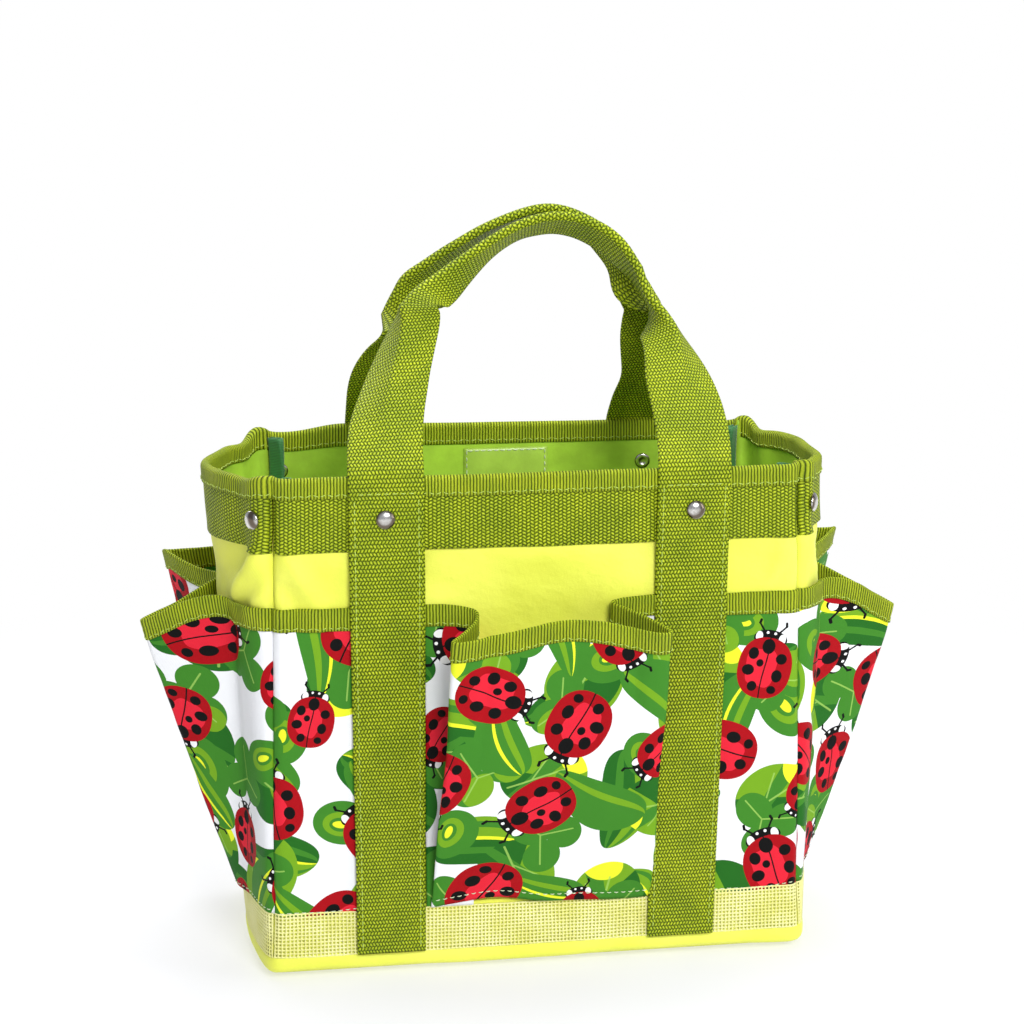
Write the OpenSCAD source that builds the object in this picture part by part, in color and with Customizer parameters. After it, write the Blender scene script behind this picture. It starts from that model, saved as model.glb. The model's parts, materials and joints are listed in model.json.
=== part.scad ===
// Open-top garden tool tote with outside pockets and two webbing carry
// handles. The body is sewn from flat cut panels: a front and a back that
// taper towards the rim, and two sides that bow outwards.
// +Z is up, the front faces -Y, and the origin is the centre of the base on
// the ground. All sizes are millimetres.

/* [Body] */
// Width of the front and back panels at the base
base_w = 282; // [272:1:292]
// Width of the front and back panels at the rim
rim_w = 270; // [262:1:282]
// Depth between the outer faces of the front and back panels
depth = 130; // [126:1:140]
// Height of the rim above the ground
height = 267; // [262:1:275]
// Outward bow of each side panel at the base
bow_base = 10; // [8:1:14]
// Outward bow of each side panel at the rim
bow_rim = 32; // [26:1:34]
// Thickness of the body fabric
body_t = 1.0; // [0.8:0.05:1.05]
// Thickness of the coated lining
lining_t = 0.75; // [0.5:0.05:0.8]

/* [Base] */
// Thickness of the stiffening board in the base
board_t = 2.8; // [1.5:0.1:2.9]
// Height of the rolled edge round the base
roll_h = 12; // [9:0.5:12]
// Top of the open mesh strip
mesh_top = 36; // [32:1:36]

/* [Webbing] */
// Width of the carry webbing
web_w = 38; // [34:1:40]
// Thickness of the carry webbing
web_t = 1.8; // [1.4:0.1:2.0]
// Distance between the centre lines of the two straps on a face
strap_spacing = 155; // [150:1:158]
// Depth of the webbing band round the rim, binding included
band_h = 38; // [34:1:40]
// Depth of the folded binding tape on each side of an edge
tape_h = 11; // [9:0.5:11]

/* [Handles] */
// Height of the grips above the ground when the bag stands at rest
grip_z = 395; // [385:1:400]
// Thickness of the folded grip
grip_t = 6.6; // [4:0.2:7]

/* [Rivets] */
// Diameter of a rivet cap
cap_d = 9.8; // [8:0.1:10]
// Height of a rivet cap's dome
cap_h = 2.2; // [1.6:0.1:2.4]
// Diameter of a rivet post
post_d = 3.4; // [3:0.1:3.4]
// Height of the rivets above the ground
rivet_z = 245; // [243:0.5:247]

/* [Pockets] */
// Height of the flat pockets' mouths
pocket_z = 199; // [194:1:202]
// How far the front bellows pocket stands out at its mouth
bellows_out = 32; // [26:1:34]
// How far a side pocket's lip stands out from the side panel
side_out = 38; // [30:1:40]

/* [Hidden] */

// The layers of fabric, as distances outwards from the body panel's face
L_lining = [-body_t - 0.15 - lining_t, -body_t - 0.15];
L_body = [-body_t, 0];
L_tape_in = [0.1, 0.65];
L_pocket = [0.8, 1.5];
L_tape_out = [1.65, 2.3];
L_mesh = [1.6, 2.2];
L_band = [0.2, 1.65];
L_strap = [2.6, 2.6 + web_t];
L_rim = [L_lining[0] - 0.8, L_lining[0] - 0.2, 1.85, 2.45];

hd = depth / 2;                 // half depth
side_y = hd - 2.8;              // where the side panels stop short of the faces
ns = 14;                        // facets across a side panel
side_ys = [for (i = [0:ns]) -side_y + 2 * side_y * i / ns];
sc = strap_spacing / 2;
hinge = [hd + L_strap[0] + web_t / 2, height + 1.2];
corner_rivet_y = 57;
corner_rivet_x = 127;
fin_w = 9;
stand_bottom = mesh_top + 0.7;

// ---- geometry of the body ----

// Half the width of the front face at height z
function half_w(z) = (base_w + (rim_w - base_w) * z / height) / 2;
// Bow of the side at height z
function bow(z) = bow_base + (bow_rim - bow_base) * z / height;
// A point on the side, off millimetres outside the body panel's face
function side_n(y, z) = let (s = 8 * bow(z) * y / (depth * depth)) [1, s] / norm([1, s]);
function side_p(y, z, off) = let (n = side_n(y, z))
  [half_w(z) + bow(z) * (1 - pow(2 * y / depth, 2)) + off * n[0], y + off * n[1], z];

// ---- meshing helpers ----

function flat(l) = [for (a = l) for (b = a) b];

// A thin closed sheet between two grids of points with equal rows and columns
module sheet(outer, inner) {
  r = len(outer); n = len(outer[0]); k = r * n;
  function id(a, b) = a * n + b;
  faces = concat(
    [for (a = [0:r - 2]) for (b = [0:n - 2]) each
      [[id(a, b), id(a + 1, b), id(a + 1, b + 1)], [id(a, b), id(a + 1, b + 1), id(a, b + 1)],
       [k + id(a, b), k + id(a + 1, b + 1), k + id(a + 1, b)], [k + id(a, b), k + id(a, b + 1), k + id(a + 1, b + 1)]]],
    [for (b = [0:n - 2]) each
      [[id(0, b), id(0, b + 1), k + id(0, b + 1)], [id(0, b), k + id(0, b + 1), k + id(0, b)],
       [id(r - 1, b + 1), id(r - 1, b), k + id(r - 1, b)], [id(r - 1, b + 1), k + id(r - 1, b), k + id(r - 1, b + 1)]]],
    [for (a = [0:r - 2]) each
      [[id(a + 1, 0), id(a, 0), k + id(a, 0)], [id(a + 1, 0), k + id(a, 0), k + id(a + 1, 0)],
       [id(a, n - 1), id(a + 1, n - 1), k + id(a + 1, n - 1)], [id(a, n - 1), k + id(a + 1, n - 1), k + id(a, n - 1)]]]);
  polyhedron(points = concat(flat(outer), flat(inner)), faces = faces);
}

// A closed profile swept along stations. Each station is a list of points.
// An open sweep is capped: caps lists the quads of the profile.
module sweep(st, ring = false, caps = []) {
  n = len(st); m = len(st[0]);
  function id(a, b) = (a % n) * m + (b % m);
  faces = concat(
    [for (a = [0:ring ? n - 1 : n - 2]) for (b = [0:m - 1]) each
      [[id(a, b), id(a, b + 1), id(a + 1, b + 1)], [id(a, b), id(a + 1, b + 1), id(a + 1, b)]]],
    ring ? [] : [for (q = caps) each
      [[q[2], q[1], q[0]], [q[3], q[2], q[0]],
       [id(n - 1, q[0]), id(n - 1, q[1]), id(n - 1, q[2])], [id(n - 1, q[0]), id(n - 1, q[2]), id(n - 1, q[3])]]]);
  polyhedron(points = flat(st), faces = faces);
}
U_CAPS = [[0, 1, 6, 7], [1, 2, 5, 6], [2, 3, 4, 5]];

// Plan outline of the bag at height z, moved out by off, anticlockwise
function miter(a, b) = let (s = a + b) s * 2 / (s * s);
function corner_off(y, z) = miter([0, y > 0 ? 1 : -1], side_n(y, z));
function outline_right(z, off) = concat(
  [let (c = corner_off(-hd, z)) [half_w(z), -hd] + off * c],
  [for (y = side_ys) let (p = side_p(y, z, off)) [p[0], p[1]]],
  [let (c = corner_off(hd, z)) [half_w(z), hd] + off * c]);
function outline(z, off) = let (r = outline_right(z, off))
  concat(r, [for (p = r) -p]);
function at(pts, z) = [for (p = pts) [p[0], p[1], z]];

// ---- panels of the front and back ----

// Flat layer parallel to the front, lo and hi outside the body face.
// Its edges stop e short of the corner seams.
module face_layer(l, z0, z1, e = 0.2) {
  translate([0, -hd - l[0], 0]) rotate([90, 0, 0]) linear_extrude(l[1] - l[0])
    polygon([[-half_w(z0) + e, z0], [half_w(z0) - e, z0], [half_w(z1) - e, z1], [-half_w(z1) + e, z1]]);
}
module strap_holes(d) for (s = [-1, 1]) translate([s * sc, -hd + 20, rivet_z]) rotate([90, 0, 0]) cylinder(d = d, h = 40, $fn = 24);
module back_corner_holes(d) for (s = [-1, 1]) translate([s * corner_rivet_x, hd + 20, rivet_z]) rotate([90, 0, 0]) cylinder(d = d, h = 40, $fn = 24);
module to_back() mirror([0, 1, 0]) children();

// ---- panels of the sides ----

module side_layer(l, z0, z1) {
  zs = concat([z0], [for (z = [height / 2, height - band_h]) if (z > z0 + 1 && z < z1 - 1) z], [z1]);
  sheet([for (z = zs) [for (y = side_ys) side_p(y, z, l[1])]],
        [for (z = zs) [for (y = side_ys) side_p(y, z, l[0])]]);
}
// Puts its children on the right side's surface at the corner rivet
module at_side_rivet() {
  p = side_p(-corner_rivet_y, rivet_z, 0); n = side_n(-corner_rivet_y, rivet_z);
  translate(p) rotate([0, 0, atan2(n[1], n[0])]) rotate([0, 90, 0]) children();
}
module side_hole(d) at_side_rivet() translate([0, 0, -10]) cylinder(d = d, h = 20, $fn = 24);

// ---- pockets: ruled walls from a seam line up to a mouth line ----

// Offset of an open plan path, to its right-hand side
function seg_n(a, b) = let (d = b - a) [d[1], -d[0]] / norm(d);
function path_n(p, i) = let (n = len(p))
  i == 0 ? seg_n(p[0], p[1]) : i == n - 1 ? seg_n(p[n - 2], p[n - 1]) :
  let (a = seg_n(p[i - 1], p[i]), b = seg_n(p[i], p[i + 1]), s = a + b, m = s * 2 / max(s * s, 1.1)) m;
function path_off(p, off) = [for (i = [0:len(p) - 1]) p[i] + off * path_n(p, i)];
// Row of a ruled wall at fraction v of its height
function wall_row(bot, top, v, off) = let (
    p = [for (i = [0:len(bot) - 1]) let (q = bot[i] + v * (top[i] - bot[i])) [q[0], q[1]]],
    o = path_off(p, off))
  [for (i = [0:len(bot) - 1]) [o[i][0], o[i][1], bot[i][2] + v * (top[i][2] - bot[i][2])]];
module wall(bot, top, l, vs = [0, 0.5, 0.92, 0.995])
  sheet([for (v = vs) wall_row(bot, top, v, l[1])], [for (v = vs) wall_row(bot, top, v, l[0])]);
// Folded tape over the top edge of a ruled wall that fills layer l
module tape(bot, top, l, drop = tape_h) {
  h = top[0][2] - bot[0][2]; a = 1 - drop / h; b = 1 + 0.9 / h; c = 1 + 0.2 / h;
  rows = [wall_row(bot, top, a, l[1] + 0.75), wall_row(bot, top, b, l[1] + 0.75),
          wall_row(bot, top, b, l[0] - 0.75), wall_row(bot, top, a, l[0] - 0.75),
          wall_row(bot, top, a, l[0] - 0.15), wall_row(bot, top, c, l[0] - 0.15),
          wall_row(bot, top, c, l[1] + 0.15), wall_row(bot, top, a, l[1] + 0.15)];
  sweep([for (i = [0:len(bot) - 1]) [for (r = rows) r[i]]], caps = U_CAPS);
}
function lerp(a, b, t) = a + (b - a) * t;
function part_of(l, a, b) = [for (i = [a:b]) l[i]];

// Front bellows pocket: the seam line, then the mouth line
bf_n = 12;
bf_z = 189;
bf_bot = [for (i = [0:bf_n]) let (t = i / bf_n) [lerp(-57.6, 57.6, t), -hd - 1.6, stand_bottom]];
bf_top = [for (i = [0:bf_n]) let (t = i / bf_n)
  [lerp(-48, 58, t), -hd - bellows_out + 5 * sin(180 * t) + 1.5 * sin(540 * t), bf_z + 7 * sin(180 * t)]];
// Side pleats of the bellows: a Z in plan, from the strap's edge to the face's edge
module bellows_pleat(x_top, z_in) {
  z0 = 62;
  f0 = bellows_out * (z0 - stand_bottom) / (bf_z - stand_bottom);
  s = sign(x_top);
  bot = [[s * 58, -hd - 1.3, z0], [s * 50, -hd - 2.0, z0], [s * 42, -hd - 2.6, z0], [s * 49, -hd - f0 + 0.2, z0], [s * 55, -hd - f0 - 0.2, z0]];
  top = [[s * 58, -hd - 1.3, pocket_z - 3], [s * 46, -hd - 5, pocket_z - 5], [s * 35, -hd - 8, z_in], [s * 40, -hd - bellows_out * 0.6, bf_z],
         [x_top - s * 2, -hd - bellows_out + 3.5, bf_z - 2]];
  wall(bot, top, [-0.3, 0.3], [0, 0.5, 1]);
}

// Side pockets, drawn for the right side.
// Seam line and mouth line of a pocket that leaves the side panel at ya,
// stands out to a lip at tip, and returns to the panel at yb.
sp_n = 5;
function sp_line(ya, yb, tip, z, za, zb, o) = let (
    a = side_p(ya, za, o), b = side_p(yb, zb, o), t = tip)
  concat([for (i = [0:sp_n - 1]) lerp([a[0], a[1], za], t, i / sp_n)],
         [for (i = [0:sp_n]) lerp(t, [b[0], b[1], zb], i / sp_n)]);
sp_o = 2.7;
sp_front_top = sp_line(-34, 13, [side_p(-34, 178, 0)[0] + side_out + 3, -22, 178], 178, pocket_z - 4, pocket_z - 2, sp_o);
sp_front_bot = let (z = stand_bottom) sp_line(-34, 13, [side_p(-22, z, 0)[0] + 7, -22, z], z, z, z, sp_o);
sp_rear_top = sp_line(19, 58, [side_p(22, 195, 0)[0] + side_out - 12, 55, 194], 194, pocket_z - 3, pocket_z - 3, sp_o);
sp_rear_bot = let (z = stand_bottom) sp_line(19, 58, [side_p(50, z, 0)[0] + 8, 48, z], z, z, z, sp_o);
sp_l = [0, 0.7];
module sp_face(bot, top) wall(part_of(bot, 3, 7), part_of(top, 3, 7), sp_l);
module sp_pleats(bot, top) {
  a = 0.06;
  function cut(l, i, j, k) = concat(part_of(l, i, j), [lerp(l[j], l[k], 1 - a)]);
  function cut2(l, i, j, k) = concat([lerp(l[i], l[k], a)], part_of(l, j, len(l) - 1));
  wall(cut(bot, 0, 2, 3), cut(top, 0, 2, 3), sp_l);
  wall(cut2(bot, 7, 8, 8), cut2(top, 7, 8, 8), sp_l);
}
module right_side_pocket_panel() {
  // the strip sewn in under the mesh, and the parts above it that lie flat
  ys = [for (i = [0:ns]) side_ys[i]];
  sheet([for (z = [14, mesh_top - 0.2]) [for (y = ys) side_p(y, z, L_pocket[1])]],
        [for (z = [14, mesh_top - 0.2]) [for (y = ys) side_p(y, z, L_pocket[0])]]);
  for (r = [[-side_y, -35.2], [14.2, 17.8]]) {
    k = r[1] - r[0] > 10 ? 4 : 1;
    yy = [for (i = [0:k]) lerp(r[0], r[1], i / k)];
    zt = pocket_z - 1;
    sheet([for (z = [mesh_top - 0.2, 110, zt]) [for (y = yy) side_p(y, z, L_pocket[1])]],
          [for (z = [mesh_top - 0.2, 110, zt]) [for (y = yy) side_p(y, z, L_pocket[0])]]);
  }
}

// ---- handle ----

// Shape of an arch, at stations from its left foot to its right foot: the
// outer edge's x and rise above the fold line, then the inner edge's
front_arch = [[-96.5, 0, -58.5, 0], [-89.5, 26, -55, 30], [-75, 51, -47.5, 56], [-58, 83, -44, 72], [-28, 109, -18.5, 94.5],
  [13.5, 126.8, 16, 109], [41, 117, 36, 102], [66, 92, 56, 83], [81, 66, 63, 60], [96, 36, 57.5, 36], [98, 17, 59, 16], [96.5, 0, 58.5, 0]];
back_arch = [[-96.5, 0, -58.5, 0], [-91, 26, -56, 32], [-82, 55, -50, 60], [-64, 87, -46, 77], [-30, 110, -21, 95],
  [8, 126.8, 10, 109], [37, 119, 31, 104], [60, 98, 48, 88], [73, 72, 55, 70], [89, 40, 61, 42], [95, 18, 61, 20], [96.5, 0, 58.5, 0]];
kx = sc / 77.5;
kz = (grip_z - hinge[1]) / 126.8;
function arch_at(l, i) = let (q = l[i], foot = i == 0 || i == len(l) - 1, m = sign(q[0]))
  foot ? [m * (sc + web_w / 2), 0, m * (sc - web_w / 2), 0]
       : [q[0] * kx, q[1] * kz, q[2] * kx, q[3] * kz];
// Smooth curve through the stations
function arch(l, u) = let (n = len(l) - 1, i = min(n - 1, floor(u * n)), t = u * n - i,
    p1 = arch_at(l, i), p2 = arch_at(l, i + 1),
    p0 = i > 0 ? arch_at(l, i - 1) : p1 - (p2 - p1), p3 = i < n - 1 ? arch_at(l, i + 2) : p2 + (p2 - p1))
  0.5 * (2 * p1 + (p2 - p0) * t + (2 * p0 - 5 * p1 + 4 * p2 - p3) * t * t + (3 * p1 - p0 - 3 * p2 + p3) * t * t * t);
// Lean of the handle's middle surface towards the other handle
lean_top = grip_t / 2 + 0.25;
function lean_y(z) = let (u = min(1, max(0, (z - hinge[1]) / (grip_z - hinge[1]))))
  -hinge[0] + (hinge[0] - lean_top) * (1 - pow(1 - u, 1.8));
function lean_n(z) = let (d = (lean_y(z + 0.5) - lean_y(z - 0.5))) [-1, d] / norm([1, d]);
// How far the webbing is folded, from 0 on the legs to 1 in the grip
function fold(u) = let (s = min(1, max(0, (0.5 - abs(u - 0.5) - 0.2) / 0.1))) s * s * (3 - 2 * s);
function handle_station(l, u) = let (
    e = arch(l, u), h = lerp(web_t / 2, grip_t / 2, fold(u)),
    za = hinge[1] + e[1], zb = hinge[1] + e[3],
    ya = lean_y(za), yb = lean_y(zb), na = lean_n(za), nb = lean_n(zb))
  [[e[0], ya + h * na[0], za + h * na[1]], [e[2], yb + h * nb[0], zb + h * nb[1]],
   [e[2], yb - h * nb[0], zb - h * nb[1]], [e[0], ya - h * na[0], za - h * na[1]]];
module handle(l) {
  n = 44;
  sweep([for (i = [0:n]) handle_station(l, i / n)], caps = [[0, 1, 2, 3]]);
}

// ---- rivets, standing on z = 0 with the cap up ----

// Cap, post and the post's end, through a stack of the given thickness
module rivet_cap(stack) {
  rotate_extrude($fn = 32) polygon(concat([[0, 0.05], [cap_d / 2 - 0.3, 0.05], [cap_d / 2, 0.5]],
    [for (i = [1:6]) let (a = 15 * i) [cap_d / 2 * cos(a), 0.5 + (cap_h - 0.5) * sin(a)]]));
  translate([0, 0, -stack - 1.1]) cylinder(d = post_d, h = stack + 1.25, $fn = 24);
}
// Inner cap with a blind socket for the post's end
module rivet_back(stack) translate([0, 0, -stack]) mirror([0, 0, 1]) difference() {
  rotate_extrude($fn = 32) polygon(concat([[0, 0.1], [cap_d / 2 - 0.5, 0.1], [cap_d / 2 - 0.3, 0.5]],
    [for (i = [1:6]) let (a = 15 * i) [(cap_d / 2 - 0.3) * cos(a), 0.5 + (cap_h - 0.5) * sin(a)]]));
  translate([0, 0, -1]) cylinder(d = post_d + 0.2, h = 2.3, $fn = 24);
}
strap_stack = L_strap[1] - L_lining[0];
corner_stack = L_band[1] - L_lining[0];
module at_rivets() {
  for (m = [0, 1]) mirror([0, m, 0]) for (s = [-1, 1])
    translate([s * sc, -hd - L_strap[1], rivet_z]) rotate([90, 0, 0]) children(0);
  for (s = [-1, 1]) translate([s * corner_rivet_x, hd + L_band[1], rivet_z]) rotate([-90, 0, 0]) children(1);
  for (m = [0, 1]) mirror([m, 0, 0]) at_side_rivet() translate([0, 0, L_band[1]]) children(1);
}

// ==== sub-parts ====

lime = [0.86, 0.93, 0.22];
olive = [0.58, 0.70, 0.14];
print = [0.80, 0.90, 0.78];
inner = [0.64, 0.80, 0.28];

// Outer bottom panel
module base_panel() color(lime) linear_extrude(1.2) polygon(outline(0, 0));
// Stiffening board between the outer bottom and the lining
module base_board() color("tan") translate([0, 0, 1.4]) linear_extrude(board_t) polygon(outline(0, L_lining[0] - 0.6));
// Rolled edge round the base
module base_roll() color(lime) sweep([for (i = [0:len(outline(0, 0)) - 1])
    [let (p = outline(roll_h, 0.35)[i]) [p[0], p[1], roll_h], let (p = outline(0, 0.35)[i]) [p[0], p[1], 0.3],
     let (p = outline(0, 1.2)[i]) [p[0], p[1], 0.3], let (p = outline(0, 2.4)[i]) [p[0], p[1], 1.6],
     let (p = outline(4, 3)[i]) [p[0], p[1], 4], let (p = outline(8, 3)[i]) [p[0], p[1], roll_h - 4],
     let (p = outline(roll_h, 2.2)[i]) [p[0], p[1], roll_h]]], ring = true);
// Coated lining: one panel per wall and one over the board
module lining_base() color(inner) translate([0, 0, 4.5]) linear_extrude(lining_t) polygon(outline(4, L_lining[0] - 0.6));
module lining_front() color(inner) difference() { face_layer(L_lining, 1.4, height - 1.2); strap_holes(post_d + 0.4); }
module lining_back() color(inner) difference() { to_back() difference() { face_layer(L_lining, 1.4, height - 1.2); strap_holes(post_d + 0.4); } back_corner_holes(post_d + 0.4); }
module lining_right() color(inner) difference() { side_layer(L_lining, 1.4, height - 1.2); side_hole(post_d + 0.4); }
module lining_left() mirror([1, 0, 0]) lining_right();
// Blank fabric label sewn inside the back wall
module label_patch() color("yellowgreen") translate([-24, hd + L_lining[0] - 0.5, 224]) cube([48, 0.4, 31]);
// Binding tape folded over the raw seam inside each corner
module corner_fin() {
  function fin(z) = let (c = [half_w(z) - 3.2, -hd + 3.6], d = [-0.62, 0.78], n = [0.78, 0.62])
    [for (q = [[0, -1.1], [fin_w, -1.1], [fin_w, 1.1], [0, 1.1]]) let (p = c + q[0] * d + q[1] * n) [p[0], p[1], z]];
  sweep([fin(6), fin(height - 1.5)], caps = [[0, 1, 2, 3]]);
}
module corner_seam_bindings() color("darkgreen") for (a = [0, 1], b = [0, 1]) mirror([a, 0, 0]) mirror([0, b, 0]) corner_fin();
// Body panels
module body_panel_front() color(lime) difference() { face_layer(L_body, 1.4, height - 1.2); strap_holes(post_d + 0.4); }
module body_panel_back() color(lime) difference() { to_back() difference() { face_layer(L_body, 1.4, height - 1.2); strap_holes(post_d + 0.4); } back_corner_holes(post_d + 0.4); }
module body_panel_right() color(lime) difference() { side_layer(L_body, 1.4, height - 1.2); side_hole(post_d + 0.4); }
module body_panel_left() mirror([1, 0, 0]) body_panel_right();
// Open mesh strip round the foot
module mesh_strip_front() color("khaki") face_layer(L_mesh, roll_h + 0.3, mesh_top);
module mesh_strip_back() color("khaki") to_back() face_layer(L_mesh, roll_h + 0.3, mesh_top);
module mesh_strip_right() color("khaki") side_layer(L_mesh, roll_h + 0.3, mesh_top);
module mesh_strip_left() mirror([1, 0, 0]) mesh_strip_right();
// Webbing band round the rim, cut at each corner seam
module band_front() color(olive) difference() { face_layer(L_band, height - band_h, height - 1.4); strap_holes(post_d + 0.4); }
module band_back() color(olive) difference() { to_back() difference() { face_layer(L_band, height - band_h, height - 1.4); strap_holes(post_d + 0.4); } back_corner_holes(post_d + 0.4); }
module band_right() color(olive) difference() { side_layer(L_band, height - band_h, height - 1.4); side_hole(post_d + 0.4); }
module band_left() mirror([1, 0, 0]) band_right();
// Grosgrain tape folded over the rim
module rim_binding() color(olive) {
  z0 = height - tape_h; z1 = height; z2 = height - 0.9;
  rows = [at(outline(z0, L_rim[3]), z0), at(outline(z1, L_rim[3]), z1), at(outline(z1, L_rim[0]), z1), at(outline(z0, L_rim[0]), z0),
          at(outline(z0, L_rim[1]), z0), at(outline(z2, L_rim[1]), z2), at(outline(z2, L_rim[2]), z2), at(outline(z0, L_rim[2]), z0)];
  sweep([for (i = [0:len(rows[0]) - 1]) [for (k = [7:-1:0]) rows[k][i]]], ring = true);
}
// Straps: the sewn-down legs of the two carry webbings
module strap(s) color(olive) difference() {
  translate([s * sc - web_w / 2, -hd - L_strap[1], roll_h + 0.3]) cube([web_w, web_t, height - roll_h - 1.4]);
  strap_holes(post_d + 0.4);
}
module strap_front_left() strap(-1);
module strap_front_right() strap(1);
module strap_back_left() to_back() strap(-1);
module strap_back_right() to_back() strap(1);
// Free arches of the two carry webbings
module front_handle() color(olive) handle(front_arch);
module back_handle() color(olive) to_back() handle(back_arch);
// Double-cap rivets
module rivet_caps() color("silver") at_rivets() { rivet_cap(strap_stack); rivet_cap(corner_stack); }
module rivet_backs() color("silver") at_rivets() { rivet_back(strap_stack); rivet_back(corner_stack); }
// Printed pocket panel of the front: two flat pockets joined along the foot
module pocket_panel_front() color(print) translate([0, -hd - L_pocket[0], 0]) rotate([90, 0, 0]) linear_extrude(L_pocket[1] - L_pocket[0])
  polygon([[-half_w(14) + 0.2, 14], [half_w(14) - 0.2, 14], [half_w(pocket_z) - 0.2, pocket_z - 1], [60, pocket_z - 1],
    [60, mesh_top - 0.2], [-60, mesh_top - 0.2], [-60, pocket_z - 1], [-half_w(pocket_z) + 0.2, pocket_z - 1]]);
module pocket_panel_back() to_back() pocket_panel_front();
// Tape folded over the flat pockets' mouths
module pocket_bindings_front() color(olive) for (s = [-1, 1]) {
  z0 = pocket_z - tape_h; x1 = 60; x2 = half_w(pocket_z) - 0.4;
  translate([s > 0 ? x1 : -x2, 0, 0]) rotate([90, 0, 90]) linear_extrude(x2 - x1)
    polygon([[-hd - L_tape_out[1], z0], [-hd - L_tape_out[1], pocket_z], [-hd - L_tape_in[0], pocket_z], [-hd - L_tape_in[0], z0],
      [-hd - L_tape_in[1], z0], [-hd - L_tape_in[1], pocket_z - 0.8], [-hd - L_tape_out[0], pocket_z - 0.8], [-hd - L_tape_out[0], z0]]);
}
module pocket_bindings_back() to_back() pocket_bindings_front();
// Printed pocket panel of each side, without the parts that stand out
module pocket_panel_right() color(print) right_side_pocket_panel();
module pocket_panel_left() mirror([1, 0, 0]) pocket_panel_right();
// Bellows pocket of the front, and the same on the back
module bellows_front() color(print) wall(bf_bot, bf_top, [0, 0.7]);
module bellows_front_pleats() color(print) { bellows_pleat(-48, 193); bellows_pleat(58, 193); }
module bellows_front_binding() color(olive) tape(bf_bot, bf_top, [0, 0.7]);
module bellows_back() to_back() bellows_front();
module bellows_back_pleats() to_back() bellows_front_pleats();
module bellows_back_binding() to_back() bellows_front_binding();
// Side pockets
module side_pocket_right_front() color(print) sp_face(sp_front_bot, sp_front_top);
module side_pleats_right_front() color(print) sp_pleats(sp_front_bot, sp_front_top);
module side_binding_right_front() color(olive) tape(sp_front_bot, sp_front_top, sp_l);
module side_pocket_right_rear() color(print) sp_face(sp_rear_bot, sp_rear_top);
module side_pleats_right_rear() color(print) sp_pleats(sp_rear_bot, sp_rear_top);
module side_binding_right_rear() color(olive) tape(sp_rear_bot, sp_rear_top, sp_l);
module side_pocket_left_front() mirror([1, 0, 0]) side_pocket_right_front();
module side_pleats_left_front() mirror([1, 0, 0]) side_pleats_right_front();
module side_binding_left_front() mirror([1, 0, 0]) side_binding_right_front();
module side_pocket_left_rear() mirror([1, 0, 0]) side_pocket_right_rear();
module side_pleats_left_rear() mirror([1, 0, 0]) side_pleats_right_rear();
module side_binding_left_rear() mirror([1, 0, 0]) side_binding_right_rear();

base_panel();
base_board();
base_roll();
lining_base();
body_panel_front();
body_panel_back();
body_panel_left();
body_panel_right();
lining_front();
lining_back();
lining_left();
lining_right();
label_patch();
corner_seam_bindings();
mesh_strip_front();
mesh_strip_back();
mesh_strip_left();
mesh_strip_right();
band_front();
band_back();
band_left();
band_right();
rim_binding();
strap_front_left();
strap_front_right();
strap_back_left();
strap_back_right();
front_handle();
back_handle();
rivet_caps();
rivet_backs();
pocket_panel_front();
pocket_panel_back();
pocket_bindings_front();
pocket_bindings_back();
pocket_panel_left();
pocket_panel_right();
bellows_front();
bellows_front_pleats();
bellows_front_binding();
bellows_back();
bellows_back_pleats();
bellows_back_binding();
side_pocket_left_front();
side_pleats_left_front();
side_binding_left_front();
side_pocket_left_rear();
side_pleats_left_rear();
side_binding_left_rear();
side_pocket_right_front();
side_pleats_right_front();
side_binding_right_front();
side_pocket_right_rear();
side_pleats_right_rear();
side_binding_right_rear();
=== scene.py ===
import bpy, bmesh, json, math
import numpy as np
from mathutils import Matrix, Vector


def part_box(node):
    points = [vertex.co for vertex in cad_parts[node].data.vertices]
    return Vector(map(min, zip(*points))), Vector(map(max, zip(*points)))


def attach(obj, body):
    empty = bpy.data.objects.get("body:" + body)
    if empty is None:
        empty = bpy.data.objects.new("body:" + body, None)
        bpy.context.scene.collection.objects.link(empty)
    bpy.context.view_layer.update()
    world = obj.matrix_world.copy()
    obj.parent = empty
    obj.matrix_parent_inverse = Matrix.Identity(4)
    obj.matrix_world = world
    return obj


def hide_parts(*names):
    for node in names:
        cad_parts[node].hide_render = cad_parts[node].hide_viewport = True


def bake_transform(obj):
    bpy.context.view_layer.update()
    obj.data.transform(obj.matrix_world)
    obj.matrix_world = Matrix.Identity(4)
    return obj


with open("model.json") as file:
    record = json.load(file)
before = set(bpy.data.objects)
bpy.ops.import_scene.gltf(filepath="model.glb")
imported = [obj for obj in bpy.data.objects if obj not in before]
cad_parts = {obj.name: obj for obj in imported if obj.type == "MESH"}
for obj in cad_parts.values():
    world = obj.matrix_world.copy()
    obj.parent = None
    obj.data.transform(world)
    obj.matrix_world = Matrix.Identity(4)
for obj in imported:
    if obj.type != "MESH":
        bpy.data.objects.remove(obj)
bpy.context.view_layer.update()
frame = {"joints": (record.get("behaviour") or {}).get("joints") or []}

# ---------------------------------------------------------------- sizes, mm
def bx(n):
    lo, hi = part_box(n)
    return np.array(lo) * 1000, np.array(hi) * 1000
HD = -bx("body_panel_front")[0][1]                    # half depth
H = bx("rim_binding")[1][2]                           # rim height
BASE_HW = bx("base_panel")[1][0]                      # half width with the bow
SC = (bx("strap_front_right")[0][0] + bx("strap_front_right")[1][0]) / 2
WEB = bx("strap_front_right")[1][0] - bx("strap_front_right")[0][0]
BAND_Z = bx("band_front")[0][2]
TAPE = bx("rim_binding")[1][2] - bx("rim_binding")[0][2]
MESH_TOP = bx("mesh_strip_front")[1][2]
ROLL = bx("base_roll")[1][2]
HINGE_Y = HD + 3.5
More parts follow.
